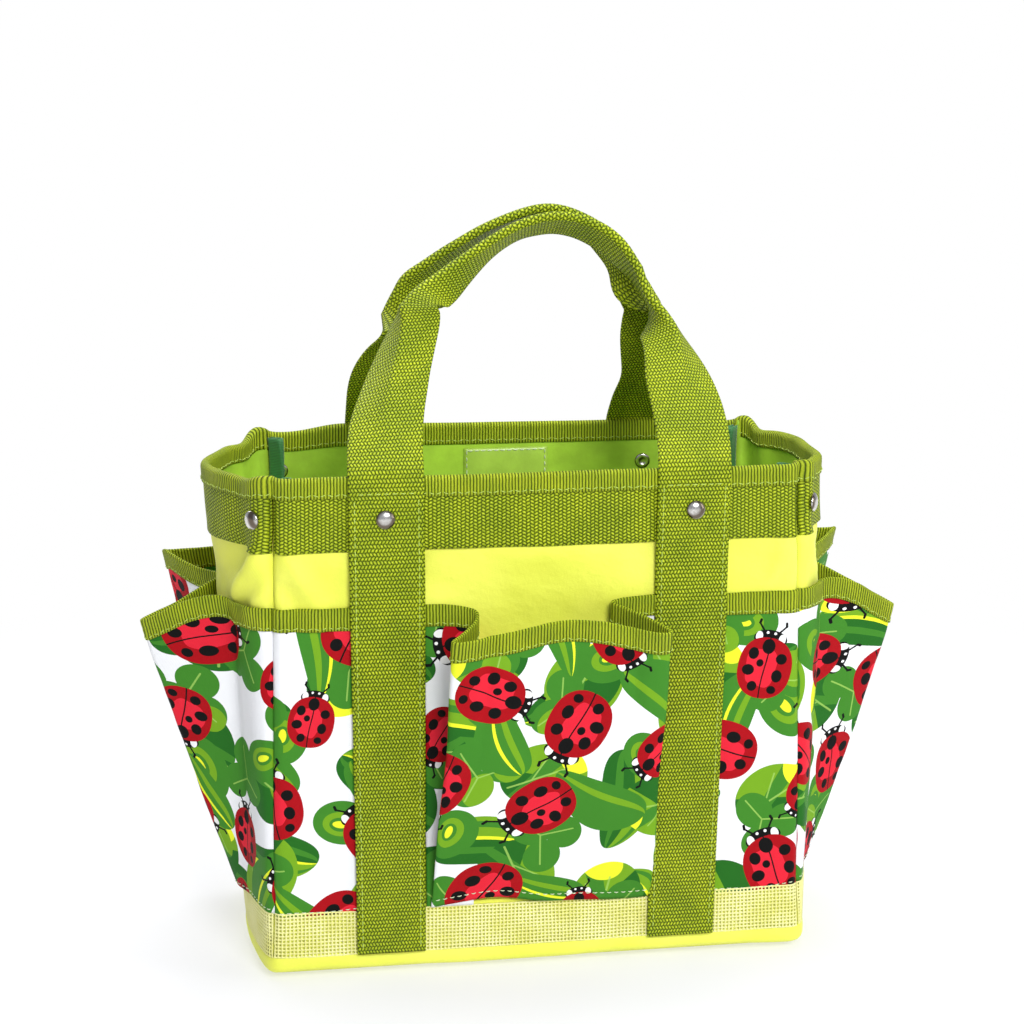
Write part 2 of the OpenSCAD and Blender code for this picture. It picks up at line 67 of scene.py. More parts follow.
HINGE_Z = [j for j in frame["joints"] if j["name"] == "front_handle_swing"][0]["pos_m"][2] * 1000
GRIP_Z = bx("front_handle")[1][2]
BASE_W = 2 * bx("body_panel_front")[1][0] + 0.5
RIM_W = BASE_W * 270 / 282
BOW0 = BASE_HW - BASE_W / 2
BOW1 = bx("rim_binding")[1][0] - 2.45 - RIM_W / 2

def half_w(z): return (BASE_W + (RIM_W - BASE_W) * z / H) / 2
def bow(z): return BOW0 + (BOW1 - BOW0) * z / H
def sstep(a, b, x):
    t = np.clip((x - a) / (b - a), 0, 1)
    return t * t * (3 - 2 * t)
def lerp(a, b, t): return a + (b - a) * t
def gauss(x, s): return np.exp(-(x / s) ** 2)

# ---------------------------------------------------------------- noise
def _hash(ix, iy, seed):
    v = np.sin(ix * 127.1 + iy * 311.7 + seed * 74.7) * 43758.5453
    return v - np.floor(v)
def noise(x, y, seed=0):
    x, y = np.broadcast_arrays(np.asarray(x, float), np.asarray(y, float))
    ix, iy = np.floor(x), np.floor(y)
    fx, fy = x - ix, y - iy
    fx, fy = fx * fx * (3 - 2 * fx), fy * fy * (3 - 2 * fy)
    a, b = _hash(ix, iy, seed), _hash(ix + 1, iy, seed)
    c, d = _hash(ix, iy + 1, seed), _hash(ix + 1, iy + 1, seed)
    return (a + (b - a) * fx + (c - a) * fy + (a - b - c + d) * fx * fy) * 2 - 1
def fbm(x, y, seed=0, octaves=3):
    s, a = 0, 1.0
    for k in range(octaves):
        s = s + a * noise(x * 2 ** k, y * 2 ** k, seed + k)
        a *= 0.5
    return s
def ridge(x, y, seed=0):
    return 1 - np.abs(noise(x, y, seed)) * 2

# ---------------------------------------------------------------- meshes
MM = 0.001
def new_object(name, verts, faces, uvs=None, mat=None, smooth=True, fuv=None, recalc=True, col=None):
    """faces: list of index arrays. uvs: one per vertex, or fuv: list of per-loop uvs matching faces."""
    me = bpy.data.meshes.new(name)
    verts = np.asarray(verts, float) * MM
    me.from_pydata([], [], [])
    me.vertices.add(len(verts))
    me.vertices.foreach_set("co", verts.astype(np.float32).ravel())
    loops = np.concatenate([np.asarray(f).ravel() for f in faces]).astype(np.int32)
    counts = np.concatenate([np.full(len(f), np.asarray(f).shape[1]) for f in faces]).astype(np.int32)
    starts = np.concatenate([[0], np.cumsum(counts)[:-1]]).astype(np.int32)
    me.loops.add(len(loops))
    me.loops.foreach_set("vertex_index", loops)
    me.polygons.add(len(counts))
    me.polygons.foreach_set("loop_start", starts)
    me.polygons.foreach_set("loop_total", counts)
    me.update(calc_edges=True)
    me.validate()
    if uvs is not None or fuv is not None:
        lay = me.uv_layers.new(name="UVMap")
        if fuv is not None:
            uvl = np.concatenate([np.asarray(f).reshape(-1, 2) for f in fuv])
        else:
            uvl = np.asarray(uvs)[loops]
        lay.data.foreach_set("uv", uvl.astype(np.float32).ravel())
    if recalc:
        bm = bmesh.new(); bm.from_mesh(me)
        bmesh.ops.recalc_face_normals(bm, faces=bm.faces)
        bm.to_mesh(me); bm.free()
    me.polygons.foreach_set("use_smooth", np.full(len(me.polygons), smooth))
    me.update()
    ob = bpy.data.objects.new(name, me)
    bpy.context.scene.collection.objects.link(ob)
    if mat: me.materials.append(mat)
    return ob

class Build:
    """Collects parts of one mesh: vertices, quads, per-loop uvs and one bend weight per vertex."""
    def __init__(s): s.v, s.f, s.uv, s.w, s.n = [], [], [], [], 0
    def add(s, v, faces, fuv, w=None):
        v = np.asarray(v, float).reshape(-1, 3)
        s.v.append(v)
        for f, u in zip(faces, fuv):
            f = np.asarray(f)
            if len(f) == 0: continue
            s.f.append(f + s.n); s.uv.append(np.asarray(u).reshape(len(f), f.shape[1], 2))
        s.w.append(np.zeros(len(v)) if w is None else np.broadcast_to(np.asarray(w, float).ravel(), (len(v),)).copy())
        s.n += len(v)
    def make(s, name, mat, smooth=True, recalc=True):
        f4 = [f for f in s.f if f.shape[1] == 4]; u4 = [u for f, u in zip(s.f, s.uv) if f.shape[1] == 4]
        f3 = [f for f in s.f if f.shape[1] == 3]; u3 = [u for f, u in zip(s.f, s.uv) if f.shape[1] == 3]
        ob = new_object(name, np.concatenate(s.v), f4 + f3, fuv=u4 + u3, mat=mat, smooth=smooth, recalc=recalc)
        ob["w_count"] = 0
        return ob, np.concatenate(s.w)

def grid_part(P, UV, wrap_c=False, wrap_r=False):
    """Quads of an R x C grid. P: R,C,3. UV: (R+wrap_r),(C+wrap_c),2."""
    R, C = P.shape[:2]
    r = np.arange(R if wrap_r else R - 1); c = np.arange(C if wrap_c else C - 1)
    rr, cc = np.meshgrid(r, c, indexing="ij")
    r1, c1 = (rr + 1) % R, (cc + 1) % C
    f = np.stack([rr * C + cc, rr * C + c1, r1 * C + c1, r1 * C + cc], -1).reshape(-1, 4)
    u = np.stack([UV[rr, cc], UV[rr, cc + 1], UV[rr + 1, cc + 1], UV[rr + 1, cc]], -2).reshape(-1, 4, 2)
    return f, u

def shell_part(B, A, A2, UV, wrap_c=False, w=None, lip=0.0):
    """Adds the closed shell between grids A (outer) and A2 (inner), each R x C x 3. lip rounds the row edges."""
    R, C = A.shape[:2]
    if lip > 0:
        def lipped(k0, k1):
            mid = (A[k0] + A2[k0]) / 2
            d = (A[k0] - A[k1]); d = d / np.maximum(np.linalg.norm(d, axis=-1, keepdims=True), 1e-9)
            return mid + d * lip
        first, last = lipped(0, 1), lipped(-1, -2)
        P = np.concatenate([A, last[None], A2[::-1], first[None]])
        U = np.concatenate([UV, UV[-1:], UV[::-1], UV[:1], UV[:1]])
        W = None if w is None else np.concatenate([w, w[-1:], w[::-1], w[:1]])
    else:
        P = np.concatenate([A, A2[::-1]])
        U = np.concatenate([UV, UV[::-1], UV[:1]])
        W = None if w is None else np.concatenate([w, w[::-1]])
    if wrap_c and UV.shape[1] == C: raise ValueError("uv needs one more column")
    f, u = grid_part(P, U, wrap_c=wrap_c, wrap_r=True)
    faces, uvs = [f], [u]
    if not wrap_c:
        n = P.shape[0]
        for c in (0, C - 1):
            i = np.arange(R - 1)
            q = np.stack([i, i + 1, 2 * R - 2 - i + (1 if lip > 0 else 0), 2 * R - 1 - i + (1 if lip > 0 else 0)], -1)
            if lip > 0:
                t = np.array([[R - 1, R, R + 1], [0, 2 * R, 2 * R + 1]])
                faces.append(t * C + c); uvs.append(U[t, c])
            faces.append(q * C + c); uvs.append(U[np.minimum(q, U.shape[0] - 1), c])
    B.add(P.reshape(-1, 3), faces, uvs, None if W is None else W.ravel())

def path_frames(P):
    d = np.gradient(P, axis=0)
    return d / np.maximum(np.linalg.norm(d, axis=1, keepdims=True), 1e-9)
def arclen(P):
    return np.concatenate([[0], np.cumsum(np.linalg.norm(np.diff(P, axis=0), axis=1))])

def stitches(B, P, N, W=None, length=3.0, gap=1.1, r=0.3, tilt=0.0, sink=0.25, start=0.0, alt=False):
    """Thread stitches along path P with surface normals N."""
    P, N = np.asarray(P, float), np.asarray(N, float)
    s = arclen(P); L = s[-1]
    count = int((L - start) // (length + gap))
    if count < 1: return
    s0 = start + (L - start - count * (length + gap)) / 2 + gap / 2 + np.arange(count) * (length + gap)
    k = 5; t = np.linspace(0, 1, k)
    ss = s0[:, None] + t[None] * length
    ip = lambda A: np.stack([np.interp(ss, s, A[:, i]) for i in range(3)], -1)
    p, n = ip(P), ip(N); n /= np.linalg.norm(n, axis=-1, keepdims=True)
    d = p[:, -1] - p[:, 0]; d = d / np.linalg.norm(d, axis=-1, keepdims=True)
    d = np.broadcast_to(d[:, None], p.shape)
    b = np.cross(d, n); b /= np.linalg.norm(b, axis=-1, keepdims=True)
    if tilt:
        sg = (np.where(np.arange(count) % 2 == 0, 1, -1) if alt else np.ones(count))[:, None, None]
        p = p + b * (t[None, :, None] - 0.5) * length * math.tan(tilt) * sg
    rise = np.sin(np.pi * t) ** 0.6 * r * 0.9 - sink * (1 - np.sin(np.pi * t))
    c = p + n * rise[None, :, None]
    a = np.arange(6) * np.pi / 3
    taper = np.array([0.55, 0.95, 1.05, 0.95, 0.55])[None, :, None, None]
    V = c[:, :, None] + taper * r * (np.cos(a)[None, None, :, None] * b[:, :, None] + np.sin(a)[None, None, :, None] * n[:, :, None])
    base = np.arange(count)[:, None, None] * (k * 6)
    i, j = np.meshgrid(np.arange(k - 1), np.arange(6), indexing="ij")
    q = np.stack([i * 6 + j, i * 6 + (j + 1) % 6, (i + 1) * 6 + (j + 1) % 6, (i + 1) * 6 + j], -1).reshape(1, -1, 4) + base
    e = k * 6 - 6
    caps = np.array([[0, 1, 2, 3], [0, 3, 4, 5], [e, e + 1, e + 2, e + 3], [e, e + 3, e + 4, e + 5]])[None] + base
    f = np.concatenate([q.reshape(-1, 4), caps.reshape(-1, 4)])
    uv = np.stack([ss[:, :, None] + 0 * a, np.broadcast_to(a, (count, k, 6))], -1).reshape(-1, 2)
    w = None
    if W is not None:
        w = np.repeat(np.interp(ss, s, W)[:, :, None], 6, axis=2).ravel()
    B.add(V.reshape(-1, 3), [f], [uv[f]], w)

def catmull(pts, n, closed=False):
    """Centripetal-like smooth curve through pts, resampled to n points evenly by length."""
    pts = np.asarray(pts, float)
    out = []
    m = len(pts)
    for i in range(m - 1):
        p1, p2 = pts[i], pts[i + 1]
        p0 = pts[i - 1] if i > 0 else 2 * p1 - p2
        p3 = pts[i + 2] if i < m - 2 else 2 * p2 - p1
        t = np.linspace(0, 1, 24, endpoint=False)[:, None]
        out.append(0.5 * (2 * p1 + (p2 - p0) * t + (2 * p0 - 5 * p1 + 4 * p2 - p3) * t ** 2 + (3 * p1 - p0 - 3 * p2 + p3) * t ** 3))
    out.append(pts[-1:])
    c = np.concatenate(out)
    return resample(c, n)
def resample(c, n):
    s = arclen(c[:, :3]); t = np.linspace(0, s[-1], n)
    return np.stack([np.interp(t, s, c[:, i]) for i in range(c.shape[1])], -1)

def blend_w(ob):
    """Bakes the fabric's placement into its mesh; nothing here makes it follow a joint."""
    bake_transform(ob)
    return ob

# ---------------------------------------------------------------- the wall surface
SIDE_LEN = [None]
_q = np.linspace(-1, 1, 401)
def side_len(z):
    y = _q * HD; x = bow(z) * (1 - _q ** 2)
    return np.sum(np.hypot(np.diff(x), np.diff(y)))
_zt = np.linspace(0, H, 30); _sl = np.array([side_len(z) for z in _zt])
def Ls(z): return np.interp(z, _zt, _sl)
def Lf(z): return 2 * half_w(z)

def plan(u, z):
    """Sharp-cornered outline. u: 0-1 front, 1-2 right side, 2-3 back, 3-4 left side."""
    u = np.mod(u, 4); k = np.floor(u).astype(int); t = u - k
    hw, bw = half_w(z), bow(z)
    yy = (2 * t - 1) * HD
    # the right wall hangs a little flatter at the rim than the left one
    b = (bw - np.where(k == 1, 9.0 * sstep(160, 262, z), 0)) * (1 - (2 * t - 1) ** 2)
    x = np.select([k == 0, k == 1, k == 2, k == 3], [-hw + 2 * hw * t, hw + b, hw - 2 * hw * t, -hw - b])
    y = np.select([k == 0, k == 1, k == 2, k == 3], [-HD + 0 * t, yy, HD + 0 * t, -yy])
    return x, y
def u_step(u, ds, z):
    """Moves ds millimetres along the outline."""
    u, ds, z = np.broadcast_arrays(u, ds, z)
    k = np.floor(np.mod(u, 4)).astype(int)
    L = np.where(k % 2 == 0, Lf(z), Ls(z)); M = np.where(k % 2 == 0, Ls(z), Lf(z))
    um = np.mod(u, 4); t = um - k
    s = t * L + ds
    over, under = s > L, s < 0
    return np.where(over, k + 1 + (s - L) / M, np.where(under, k + s / M, k + s / L))
def corner_dist(u, z):
    """Signed distance to the nearest corner along the outline, and that corner's index."""
    um = np.mod(u, 4); k = np.floor(um).astype(int); t = um - k
    L = np.where(k % 2 == 0, Lf(z), Ls(z))
    d = np.where(t < 0.5, t * L, (t - 1) * L)
    c = np.where(t < 0.5, k, (k + 1) % 4)
    return d, c
GQ = np.array([-2.2, -1.4, -0.7, 0, 0.7, 1.4, 2.2]); GW = np.exp(-GQ ** 2 / 2); GW /= GW.sum()
def smooth_plan(u, z):
    sig = 4.2 - 1.6 * sstep(30, 90, z)
    x = y = 0
    for q, w in zip(GQ, GW):
        uu = u_step(u, q * sig, z)
        a, b = plan(uu, z)
        x = x + w * a; y = y + w * b
    return x, y
def line_bump(u, z, u0, z0, u1, z1, h, s):
    """A soft fold along the straight line from (u0,z0) to (u1,z1) in millimetres of surface."""
    sc = np.where(np.floor(u0) % 2 == 0, Lf(H), Ls(H))
    px, py = (u - u0) * sc, z - z0
    dx, dy = (u1 - u0) * sc, z1 - z0
    L2 = dx * dx + dy * dy
    t = np.clip((px * dx + py * dy) / L2, 0, 1)
    d = np.hypot(px - t * dx, py - t * dy)
    return h * np.exp(-(d / s) ** 2) * np.sin(np.pi * np.clip(t, 0.02, 0.98)) ** 0.5
def disp(u, z):
    """How far the whole stack of cloth stands off its flat pattern, outwards."""
    um = np.mod(u, 4); k = np.floor(um).astype(int); t = um - k
    d, c = corner_dist(um, z)
    front = (k % 2 == 0)
    up = sstep(14, 60, z)
    free = sstep(190, 212, z) * (1 - sstep(222, 232, z))      # the bare stripe of body cloth
    o = 0
    # the seam pulls each corner in, more so under the rim
    depth = 1.5 + 1.2 * sstep(50, 190, z) + 1.3 * sstep(205, 240, z) + np.where(c == 1, 1.0 * sstep(205, 245, z), 0)
    o = o - depth * sstep(12, 40, z) * gauss(d, 2.4) * (1 - 0.25 * sstep(H - 9, H, z))
    # the side cloth stands up beside each seam, the front and back cloth less so
    ds = np.where((c == 0) | (c == 2), -d, d)                  # positive on the side panel
    o = o + (1.3 * sstep(30, 120, z) + 0.9 * sstep(200, 240, z)) * gauss(ds - 8.0, 6.5)
    o = o + (0.6 * sstep(30, 120, z) + 0.4 * sstep(200, 240, z)) * gauss(ds + 9.0, 6.0)
    o = o - 1.8 * sstep(205, 240, z) * gauss(ds - 22.0, 9.0)
    # panels belly gently
    belly = np.sin(np.pi * np.clip(t, 0, 1)) ** 0.8
    o = o + np.where(front, 1.6 * belly * np.sin(np.pi * np.clip(z / H, 0, 1)), 1.2 * belly * np.sin(np.pi * np.clip(z / H, 0, 1)))
    # wavy side walls, held straight where they are sewn
    o = o + np.where(front, 0, (1.3 * np.sin(t * 7.3 + 0.8 * k) + 0.9 * np.sin(t * 15.1 + z * 0.012 + k)) * sstep(120, 235, z) * belly)
    o = o + np.where(front, 0.45 * np.sin(t * 9.0 + k + z * 0.01) * belly * sstep(60, 200, z), 0)
    # wrinkles of the light body cloth
    lx = np.where(front, t * Lf(H), t * Ls(H) + 400)
    wr = 0.55 * fbm(lx / 34, z / 26, 3 + 0 * z) + 0.25 * fbm(lx / 13 + z / 40, z / 15, 9)
    o = o + wr * (0.30 + 1.0 * free) * up * (1 - gauss(d, 4))
    o = o + line_bump(um, z, 0.016, 231, 0.095, 198, 3.4, 3.8) - line_bump(um, z, 0.012, 214, 0.055, 196, 2.2, 3.4) + line_bump(um, z, 0.10, 226, 0.20, 206, 1.2, 7.0)
    o = o + line_bump(um, z, 0.985, 229, 0.93, 198, 2.2, 4.2) - line_bump(um, z, 0.975, 214, 0.945, 198, 1.4, 3.0)
    o = o + line_bump(um, z, 3.975, 231, 3.80, 199, 6.4, 6.0) - line_bump(um, z, 3.92, 233, 3.64, 204, 3.8, 9.0) + line_bump(um, z, 3.99, 211, 3.90, 196, 2.2, 4.0)
    o = o + line_bump(um, z, 1.025, 229, 1.17, 200, 3.6, 6.0) - line_bump(um, z, 1.06, 231, 1.30, 206, 2.0, 8.0)
    o = o + line_bump(um, z, 2.03, 230, 2.12, 203, 2.0, 5.0) + line_bump(um, z, 2.97, 230, 2.88, 203, 2.0, 5.0)
    o = o + line_bump(um, z, 1.975, 230, 1.85, 202, 2.4, 6.0) + line_bump(um, z, 3.03, 230, 3.15, 202, 2.4, 6.0)
    # soft dents between the straps
    o = o + 1.1 * free * np.sin(lx / 21.0 + z / 30) * front + 0.9 * free * gauss(t - 0.5, 0.10) * np.sin(z / 7.0)
    return o
def base_pt(u, z):
    x, y = smooth_plan(u, z)
    return np.stack([x, y, z + 0 * x], -1)
def normal(u, z):
    e = 1.2
    a, b = base_pt(u_step(u, -e, z), z), base_pt(u_step(u, e, z), z)
    d = b - a
    n = np.stack([d[..., 1], -d[..., 0], 0 * d[..., 0]], -1)
    return n / np.maximum(np.linalg.norm(n, axis=-1, keepdims=True), 1e-9)
def wall(u, z, off=0.0):
    """A point of the bag's wall: u along the outline, z up, off outwards from the body cloth's face."""
    u, z, off = np.broadcast_arrays(np.asarray(u, float), np.asarray(z, float), np.asarray(off, float))
    n = normal(u, z)
    return base_pt(u, z) + n * (disp(u, z) + off)[..., None]
def wall_n(u, z):
    e = 1.0
    a = wall(u_step(u, e, z), z) - wall(u_step(u, -e, z), z)
    b = wall(u, z + e) - wall(u, z - e)
    n = np.cross(a, b)
    return n / np.maximum(np.linalg.norm(n, axis=-1, keepdims=True), 1e-9)
def u_mm(u, z):
    """Millimetres along the outline, as the cloth is cut."""
    k = np.floor(u); t = u - k
    La, Lb = Lf(H), Ls(H)
    start = np.select([k <= 0, k == 1, k == 2, k == 3, k >= 4], [0, La, La + Lb, 2 * La + Lb, 2 * La + 2 * Lb])
    return start + t * np.where(k % 2 == 0, La, Lb)

def wall_piece(name, mat, u0, u1, z0, z1, offs, step=(3.0, 3.0), zf=None, inner_amp=0.0, extra=None, lip=0.0, uv_swap=False):
    """A sheet of cloth that follows the wall. zf(u) -> (z0,z1) may vary along it."""
    L = (u1 - u0) * (Lf(H) if int(u0 + 1e-6) % 2 == 0 else Ls(H))
    C = max(8, int(L / step[0])); R = max(3, int((z1 - z0) / step[1]))
    U = np.linspace(u0, u1, C)[None] + np.zeros((R, 1))
    T = np.linspace(0, 1, R)[:, None] + np.zeros((1, C))
    if zf is not None:
        a, b = zf(U[0])
        Z = a[None] + (b - a)[None] * T
    else:
        Z = z0 + (z1 - z0) * T
    ex = 0 if extra is None else extra(U, Z)
    A = wall(U, Z, offs[1] + ex); A2 = wall(U, Z, offs[0] + ex)
    UV = np.stack([u_mm(U, Z), Z], -1)
    if uv_swap: UV = UV[..., ::-1].copy()
    B = Build(); shell_part(B, A, A2, UV, lip=lip)
    ob, w = B.make(name, mat)
    return ob

# ---------------------------------------------------------------- shader helpers
class Nodes:
    def __init__(s, name):
        s.mat = bpy.data.materials.new(name); s.mat.use_nodes = True
        s.nt = s.mat.node_tree; s.nt.nodes.clear()
        s.out = s.nt.nodes.new("ShaderNodeOutputMaterial")
        s.bsdf = s.nt.nodes.new("ShaderNodeBsdfPrincipled")
        s.nt.links.new(s.bsdf.outputs[0], s.out.inputs[0])
        uv = s.nt.nodes.new("ShaderNodeUVMap"); uv.uv_map = "UVMap"
        s.uv = uv.outputs[0]
        sep = s.nt.nodes.new("ShaderNodeSeparateXYZ"); s.nt.links.new(s.uv, sep.inputs[0])
        s.u, s.v = sep.outputs[0], sep.outputs[1]
    def put(s, sock, val):
        if hasattr(val, "is_output") or isinstance(val, bpy.types.NodeSocket): s.nt.links.new(val, sock)
        elif isinstance(val, (tuple, list)): sock.default_value = tuple(val) + ((1.0,) if len(val) == 3 and len(sock.default_value) == 4 else ())
        else: sock.default_value = val
    def m(s, op, a, b=None, c=None, clamp=False):
        n = s.nt.nodes.new("ShaderNodeMath"); n.operation = op; n.use_clamp = clamp
        s.put(n.inputs[0], a)
        if b is not None: s.put(n.inputs[1], b)
        if c is not None: s.put(n.inputs[2], c)
        return n.outputs[0]
    def add(s, a, b): return s.m("ADD", a, b)
    def sub(s, a, b): return s.m("SUBTRACT", a, b)
    def mul(s, a, b): return s.m("MULTIPLY", a, b)
    def mad(s, a, b, c): return s.m("MULTIPLY_ADD", a, b, c)
    def lt(s, a, b): return s.m("LESS_THAN", a, b)
    def gt(s, a, b): return s.m("GREATER_THAN", a, b)
    def abs(s, a): return s.m("ABSOLUTE", a)
    def sin(s, a): return s.m("SINE", a)
    def mn(s, a, b): return s.m("MINIMUM", a, b)
    def mx(s, a, b): return s.m("MAXIMUM", a, b)
    def ramp(s, x, lo, hi):
        n = s.nt.nodes.new("ShaderNodeMapRange"); n.interpolation_type = "SMOOTHSTEP"
        s.put(n.inputs[0], x); n.inputs[1].default_value = lo; n.inputs[2].default_value = hi
        return n.outputs[0]
    def vec(s, x, y, z=0.0):
        n = s.nt.nodes.new("ShaderNodeCombineXYZ")
        s.put(n.inputs[0], x); s.put(n.inputs[1], y); s.put(n.inputs[2], z)
        return n.outputs[0]
    def noise(s, vec, scale, detail=2.0, rough=0.5, dim="3D"):
        n = s.nt.nodes.new("ShaderNodeTexNoise"); n.noise_dimensions = dim
        if vec is not None: s.nt.links.new(vec, n.inputs["Vector"])
        n.inputs["Scale"].default_value = scale; n.inputs["Detail"].default_value = detail; n.inputs["Roughness"].default_value = rough
        return n.outputs[0]
    def mix(s, f, a, b):
        n = s.nt.nodes.new("ShaderNodeMix"); n.data_type = "RGBA"
        s.put(n.inputs[0], f); s.put(n.inputs[6], a); s.put(n.inputs[7], b)
        return n.outputs[2]
    def mult(s, col, f):
        n = s.nt.nodes.new("ShaderNodeMix"); n.data_type = "RGBA"; n.blend_type = "MULTIPLY"; n.inputs[0].default_value = 1.0
        s.put(n.inputs[6], col); s.put(n.inputs[7], f)
        return n.outputs[2]
    def bump(s, h, strength, dist_mm, normal=None):
        n = s.nt.nodes.new("ShaderNodeBump"); n.inputs["Strength"].default_value = strength; n.inputs["Distance"].default_value = dist_mm * MM
        s.put(n.inputs["Height"], h)
        if normal is not None: s.nt.links.new(normal, n.inputs["Normal"])
        return n.outputs[0]
    def finish(s, col, rough, normal=None, sheen=0.0, metallic=0.0, spec=0.5, sheen_tint=None, coat=0.0):
        s.put(s.bsdf.inputs["Base Color"], col); s.put(s.bsdf.inputs["Roughness"], rough)
        if normal is not None: s.nt.links.new(normal, s.bsdf.inputs["Normal"])
        s.bsdf.inputs["Sheen Weight"].default_value = sheen
        if sheen_tint: s.bsdf.inputs["Sheen Tint"].default_value = tuple(sheen_tint) + (1.0,)
        s.bsdf.inputs["Metallic"].default_value = metallic
        s.bsdf.inputs["Specular IOR Level"].default_value = spec
        s.bsdf.inputs["Coat Weight"].default_value = coat
        return s.mat

def weave(N, pu, pv, u=None, v=None):
    """Plain weave height, 0 in the gaps and 1 on the knuckles. pu, pv: thread pitch in mm."""
    u = N.u if u is None else u; v = N.v if v is None else v
    row = N.m("FLOOR", N.m("DIVIDE", v, pv))
    ph = N.mul(N.m("MODULO", N.abs(row), 2.0), 0.5)
    a = N.abs(N.sin(N.mul(N.add(N.m("DIVIDE", u, pu), ph), math.pi)))
    b = N.abs(N.sin(N.mul(N.m("DIVIDE", v, pv), math.pi)))
    return N.m("POWER", N.mul(a, b), 0.6)

def mat_webbing(name, tone=1.0, gap=0.22):
    """Coarse basket webbing: u across, v along, in mm."""
    N = Nodes(name)
    pu, pv = 1.78, 2.05
    uu = N.mad(N.sub(N.noise(N.uv, 0.30, 2.0), 0.5), 0.45, N.u)
    vv = N.mad(N.sub(N.noise(N.uv, 0.20, 1.0), 0.5), 0.7, N.v)
    q = N.m("DIVIDE", vv, pv); j = N.m("FLOOR", q); f = N.sub(q, j)
    odd = N.m("MODULO", N.abs(j), 2.0)
    tilt = N.mul(N.sub(f, 0.5), N.mad(odd, 0.84, -0.42))
    uz = N.add(N.m("DIVIDE", uu, pu), N.mad(odd, 0.5, tilt))
    a = N.abs(N.sin(N.mul(uz, math.pi)))
    b = N.sin(N.mul(f, math.pi))
    h = N.mul(N.m("POWER", a, 0.7), N.mad(N.m("POWER", b, 0.6), 1 - gap, gap))
    fine = N.abs(N.sin(N.mul(N.add(N.mul(uz, 3.0), N.mul(f, 0.5)), math.pi)))
    hh = N.mad(fine, 0.10, N.mul(h, 0.92))
    large = N.noise(N.uv, 0.05, 3.0)
    per = N.noise(N.uv, 0.8, 1.0)
    # Colour by weave height: the darker colour in the gaps between the knuckles is painted shade, and the pale colour
    # laid over the high knuckles (patchy with per) is a painted highlight; mid is the webbing's own olive.
    dark = (0.030 * tone, 0.045 * tone, 0.0005)
    mid = (0.240 * tone, 0.325 * tone, 0.002)
    knuckle_highlight = (0.600 * tone, 0.690 * tone, 0.030)
    c = N.mix(N.ramp(h, 0.14, 0.58), dark, mid)
    c = N.mix(N.mul(N.ramp(hh, 0.64, 0.96), N.ramp(per, 0.15, 0.70)), c, knuckle_highlight)
    c = N.mult(c, N.mix(N.ramp(large, 0.3, 0.7), (0.84, 0.87, 0.80), (1.10, 1.07, 1.0)))
    n = N.bump(hh, 1.0, 0.75)
    return N.finish(c, N.mad(hh, -0.15, 0.62), n, spec=0.22)

def mat_tape(name):
    """Ribbed grosgrain: u along the tape, v across, in mm."""
    N = Nodes(name)
    uu = N.mad(N.sub(N.noise(N.uv, 0.25, 2.0), 0.5), 0.55, N.u)
    rib = N.m("POWER", N.abs(N.sin(N.mul(uu, math.pi / 1.62))), 0.8)
    row = N.sin(N.mul(N.mad(uu, 0.25, N.v), math.pi / 0.55))
    h = N.mul(rib, N.mad(N.abs(row), 0.40, 0.60))
    large = N.noise(N.uv, 0.06, 3.0)
    # Colour by rib height: darker in the valleys between the ribs is painted shade, and the pale colour on the rib tops
    # is a painted highlight.
    c = N.mix(N.ramp(h, 0.12, 0.58), (0.028, 0.044, 0.0005), (0.220, 0.300, 0.003))
    c = N.mix(N.ramp(h, 0.60, 0.98), c, (0.54, 0.63, 0.030))
    c = N.mult(c, N.mix(N.ramp(large, 0.3, 0.7), (0.84, 0.87, 0.82), (1.10, 1.07, 1.0)))
    n = N.bump(h, 1.0, 0.5)
    return N.finish(c, 0.58, n, spec=0.22)

def mat_body(name):
    N = Nodes(name)
    h = weave(N, 0.62, 0.58)
    crease = N.noise(N.uv, 0.055, 5.0, 0.6)
    large = N.noise(N.uv, 0.018, 2.0)
    c = N.mix(N.ramp(large, 0.3, 0.7), (0.850, 0.890, 0.085), (0.920, 0.935, 0.125))
    # Painted shade: the colour is darkened in the gaps of the weave, where h is low.
    c = N.mult(c, N.mix(h, (0.82, 0.84, 0.72), (1.03, 1.03, 1.0)))
    n = N.bump(crease, 0.55, 2.2)
    n = N.bump(h, 0.5, 0.16, n)
    return N.finish(c, 0.52, n, sheen=0.25, spec=0.4, sheen_tint=(0.95, 1.0, 0.5))

def mat_lining(name, col=(0.400, 0.640, 0.050)):
    N = Nodes(name)
    h = weave(N, 0.75, 0.7)
    crease = N.noise(N.uv, 0.06, 4.0, 0.55)
    # Painted shade and light: the colour follows the crease bump, darker in its hollows and lighter on its ridges, and
    # is darkened a little in the gaps of the weave.
    c = N.mix(N.ramp(crease, 0.3, 0.75), tuple(x * 0.9 for x in col), tuple(min(1, x * 1.12) for x in col))
    c = N.mult(c, N.mix(h, (0.95, 0.95, 0.93), (1.0, 1.0, 1.0)))
    n = N.bump(crease, 0.3, 1.8)
    n = N.bump(h, 0.18, 0.1, n)
    return N.finish(c, 0.34, n, spec=0.5, coat=0.08)

def mat_thread(name, col, pitch=0.7):
    """Sewing thread, plied: u along the stitch, v round it."""
    N = Nodes(name)
    tw = N.abs(N.sin(N.add(N.mul(N.u, math.pi / pitch), N.mul(N.v, 0.5))))
    # Painted shade: the colour is darkened in the grooves between the twisted plies.
    c = N.mix(tw, tuple(x * 0.55 for x in col), col)
    return N.finish(c, 0.5, N.bump(tw, 0.6, 0.12), sheen=0.2)

